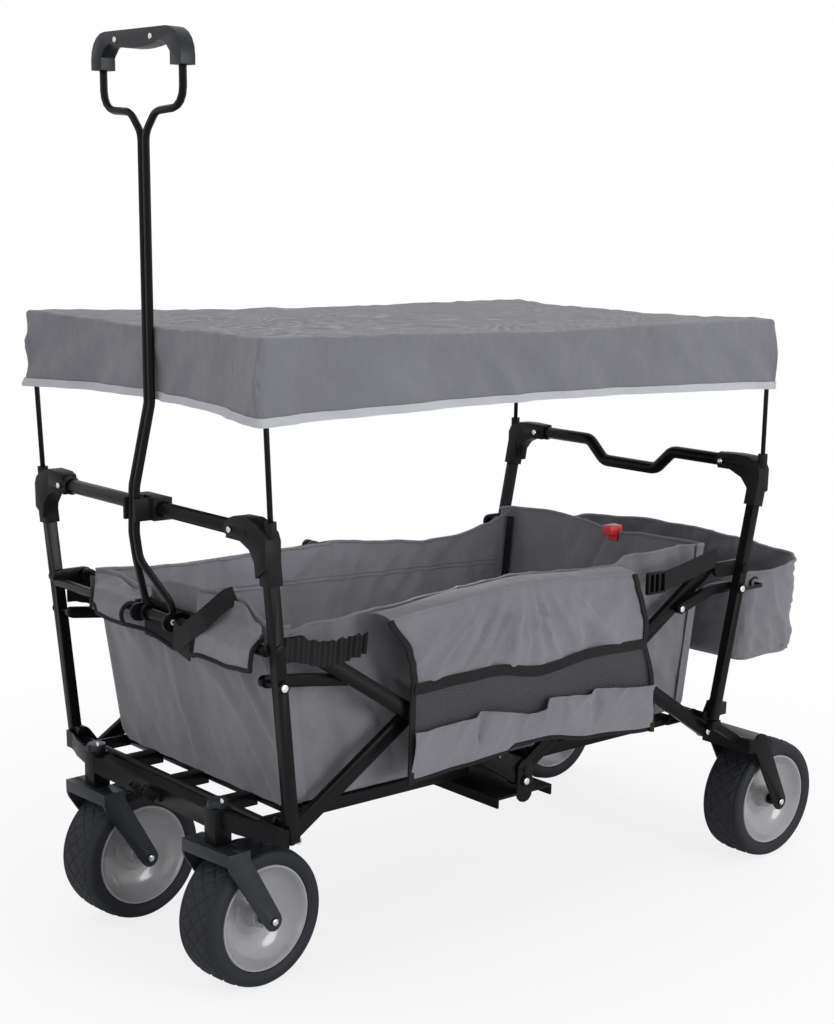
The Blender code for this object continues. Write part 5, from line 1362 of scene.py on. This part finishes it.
def canopy_cloth(low_z, high_z, grow, lid, thick, pitch, lift=0.0):
    """The canopy's cloth or, without a lid, the band of its hem."""
    low = Vector((CANOPY_X[0] - grow, -CANOPY_HALF - grow, low_z))
    high = Vector((CANOPY_X[1] + grow, CANOPY_HALF + grow, high_z))
    shoulder = (0.006, 3) if lid else None
    form = open_box(low, high, (-1,) if lid else (-1, 1), (0.010, 4), shoulder, (CELL, CELL, pitch))
    return walled(pushed(form, lambda spot, out: drape(spot, out, lift)), thick)


canopy_low = CANOPY_TOP - CANOPY_DROP
top_form = canopy_cloth(canopy_low, CANOPY_TOP, 0.0, True, 0.0016, CELL)
canopy = piece(top_form, "canopy_cloth_top", "front_frame", "canopy_cloth", EDGING_SHARP, ["canopy"])
hem_form = canopy_cloth(canopy_low - 0.0004, canopy_low + HEM_TALL, 0.0004, False, 0.0026, 0.004, HEM_OFF)
hem = piece(hem_form, "canopy_hem", "front_frame", "hem_grey", EDGING_SHARP)
for made in (canopy, hem):
    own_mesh(made)
print("canopy faces", len(canopy.data.polygons))

# %% [markdown]
# ## The rear bag
#
# The bag hangs behind the push bar. It starts like the canopy, upside down: a box without a top, rounded
# and sliced. Its walls bulge a little between the corners, creases gather under each eyelet, and its rim is
# a rolled hem.

# %% The rear bag
BAG_X = (0.4865, 0.6320)
BAG_HALF = 0.2600
BAG_Z = (0.3365, 0.4850)
EYELET = at(0.512, 0, 0.468)
EYELET_RING = ((0.0078, -0.0022), (0.0092, -0.0030), (0.0112, -0.0016), (0.0112, 0.0016), (0.0092, 0.0030),
               (0.0078, 0.0022))
BAG_FOLDS = ((swell, 0.0048, 0.09, 0.07, 0.4, 71.0), (crease, 0.0046, 0.05, 0.10, 0.5, 72.0),
             (crease, 0.0036, 0.09, 0.035, -0.5, 73.0))


def bag_place(spot, out):
    """Where a point of the straight bag goes."""
    middle = (BAG_X[0] + BAG_X[1]) / 2
    tall = (spot.z - BAG_Z[0]) / (BAG_Z[1] - BAG_Z[0])
    run = spot.y if abs(out.x) > abs(out.y) else spot.x
    ends = min(1.0, max(0.0, (BAG_HALF - abs(spot.y)) / 0.06))
    depth = relief(run, spot.z, BAG_FOLDS) - 0.0030
    pinch = math.exp(-(((spot.x - 0.520) / 0.012) ** 2)) * (1 - ends) * min(1.0, 1.4 * (1 - tall) + 0.3)
    depth -= 0.0045 * pinch
    if abs(out.z) > 0.5:
        depth = 0.0020 * swell(spot.x, spot.y, 0.06, 0.09, 0.2, 74.0)
    z = spot.z + 0.0030 * swell(run, 0.0, 0.07, 1.0, 0.0, 75.0) * max(0.0, tall - 0.6) / 0.4
    rearward = max(0.0, (spot.x - middle) / (BAG_X[1] - middle))
    z += (0.009 + 0.018 * (1 - (spot.y / BAG_HALF) ** 2)) * rearward * tall
    x = spot.x + (middle - spot.x) * 0.03 * (1 - tall) * (spot.x > middle)
    return at(x, spot.y, z) + out * depth


def open_rim(form):
    """The points round an open form's rim, in order."""
    first = next(edge for edge in form.edges if edge.is_boundary).verts[0]
    rim = [first]
    while True:
        onward = [edge.other_vert(rim[-1]) for edge in rim[-1].link_edges if edge.is_boundary]
        fresh = [vert for vert in onward if vert not in rim[-2:] and vert is not first]
        if not fresh or (len(rim) > 2 and first in onward):
            return rim
        rim.append(fresh[0])


bag = open_box(Vector((BAG_X[0], -BAG_HALF, BAG_Z[0])), Vector((BAG_X[1], BAG_HALF, BAG_Z[1])), (1,),
               (0.030, 7), (0.018, 5), (0.006, 0.006, 0.006))
bag_edge = open_rim(bag)
pushed(bag, bag_place)
bag_rim = swept([vert.co.copy() for vert in bag_edge], 0.0030, 4, loop=True)
rear_pouch = piece(joined(walled(bag, 0.0020), bag_rim), "rear_pouch", "rear_frame", "tub_cloth", CLOTH_SHARP,
                   ["rear_bag"])
for side_name, side in SIDES:
    eyelet = turned(EYELET_RING, 40, Vector((EYELET.x, side * (BAG_HALF - 0.003), EYELET.z)), (0, 1, 0))
    piece(eyelet, f"eyelet_{side_name}", "rear_frame", "black_plastic", STEEL_SHARP)
print("bag faces", len(rear_pouch.data.polygons))

# %% [markdown]
# ## Small parts
#
# The catch on the rear rim, the four elbow brackets, the grip and the two tubes of the handle finish the
# wagon.

# %% Small parts
CATCH_SHARE = 0.6
catch_form = softened("latch_buckle", 0.0016)
catch_x = sum(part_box("latch_buckle")[end].x for end in (0, 1)) / 2
for vert in catch_form.verts:
    vert.co.x = catch_x + (vert.co.x - catch_x) * CATCH_SHARE
piece(catch_form, "catch", "rear_frame", "latch_red", STEEL_SHARP, ["latch_buckle"])
for node in ("front_bracket_near", "front_bracket_far", "rear_bracket_near", "rear_bracket_far"):
    body = frame["nodes"][node]["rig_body"]
    piece(softened(node, 0.0020), f"{node}_elbow", body, "black_plastic", STEEL_SHARP, [node])
piece(softened("handle_grip", 0.0030), "grip", "pull_handle", "grip_black", STRAP_SHARP, ["handle_grip"])
for side_name, _ in SIDES:
    tube = f"handle_tube_{side_name}"
    piece(softened(tube, 0.0004), f"pull_tube_{side_name}", "pull_handle", "frame_black", EDGING_SHARP, [tube])
print("small parts done")

# %% [markdown]
# ## What is cloth, and the end of the lesson
#
# Every sheet is declared with the width of its cut, how it is held and what it hangs on. Its height follows
# from the finished sheet's area. The table that goes with the model keeps those facts.

# %% What is cloth
CUTS = [
    ("tub_sides", 0.845, "stretched", ["floor_front", "floor_rear", "tub_front", "tub_rear"]),
    ("tub_front", 0.49, "stretched", ["handle_cross_bar", "front_cross_rail"]),
    ("tub_rear", 0.49, "stretched", ["rear_cross_rail", "tub_sides"]),
    ("front_collar_near", 0.140, "hung", ["handle_cross_bar", "tub_front"]),
    ("front_collar_far", 0.145, "hung", ["handle_cross_bar", "tub_front"]),
    ("yoke_strap", 0.165, "folded", ["handle_yoke", "tub_front"]),
    ("yoke_backing", 0.126, "laid", ["handle_yoke"]),
]
for side_name, _ in SIDES:
    panel = f"pocket_{side_name}"
    CUTS += [
        (panel, 0.50, "hung", ["tub_sides"]),
        (f"pocket_net_{side_name}", 0.49, "stretched", [panel]),
        (f"pocket_band_{side_name}", 0.48, "gathered", [panel]),
        (f"gathered_band_{side_name}", 0.18, "gathered", [f"front_post_{side_name}", "tub_sides"]),
        (f"pull_strap_{side_name}", 0.165, "stretched", [f"rear_post_{side_name}", "tub_sides"]),
    ]
POLES = [f"canopy_pole_{end}_{side_name}" for end in ("front", "rear") for side_name, _ in SIDES]
CUTS += [
    ("corner_tape_far", 0.13, "laid", ["tub_rear"]),
    ("canopy_cloth_top", 1.18, "draped", POLES),
    ("canopy_hem", 3.06, "folded", ["canopy_cloth_top"]),
    ("rear_pouch", 0.82, "hung", ["push_bar"]),
]
for name, wide, held, rests_on in CUTS:
    made = bpy.data.objects[name]
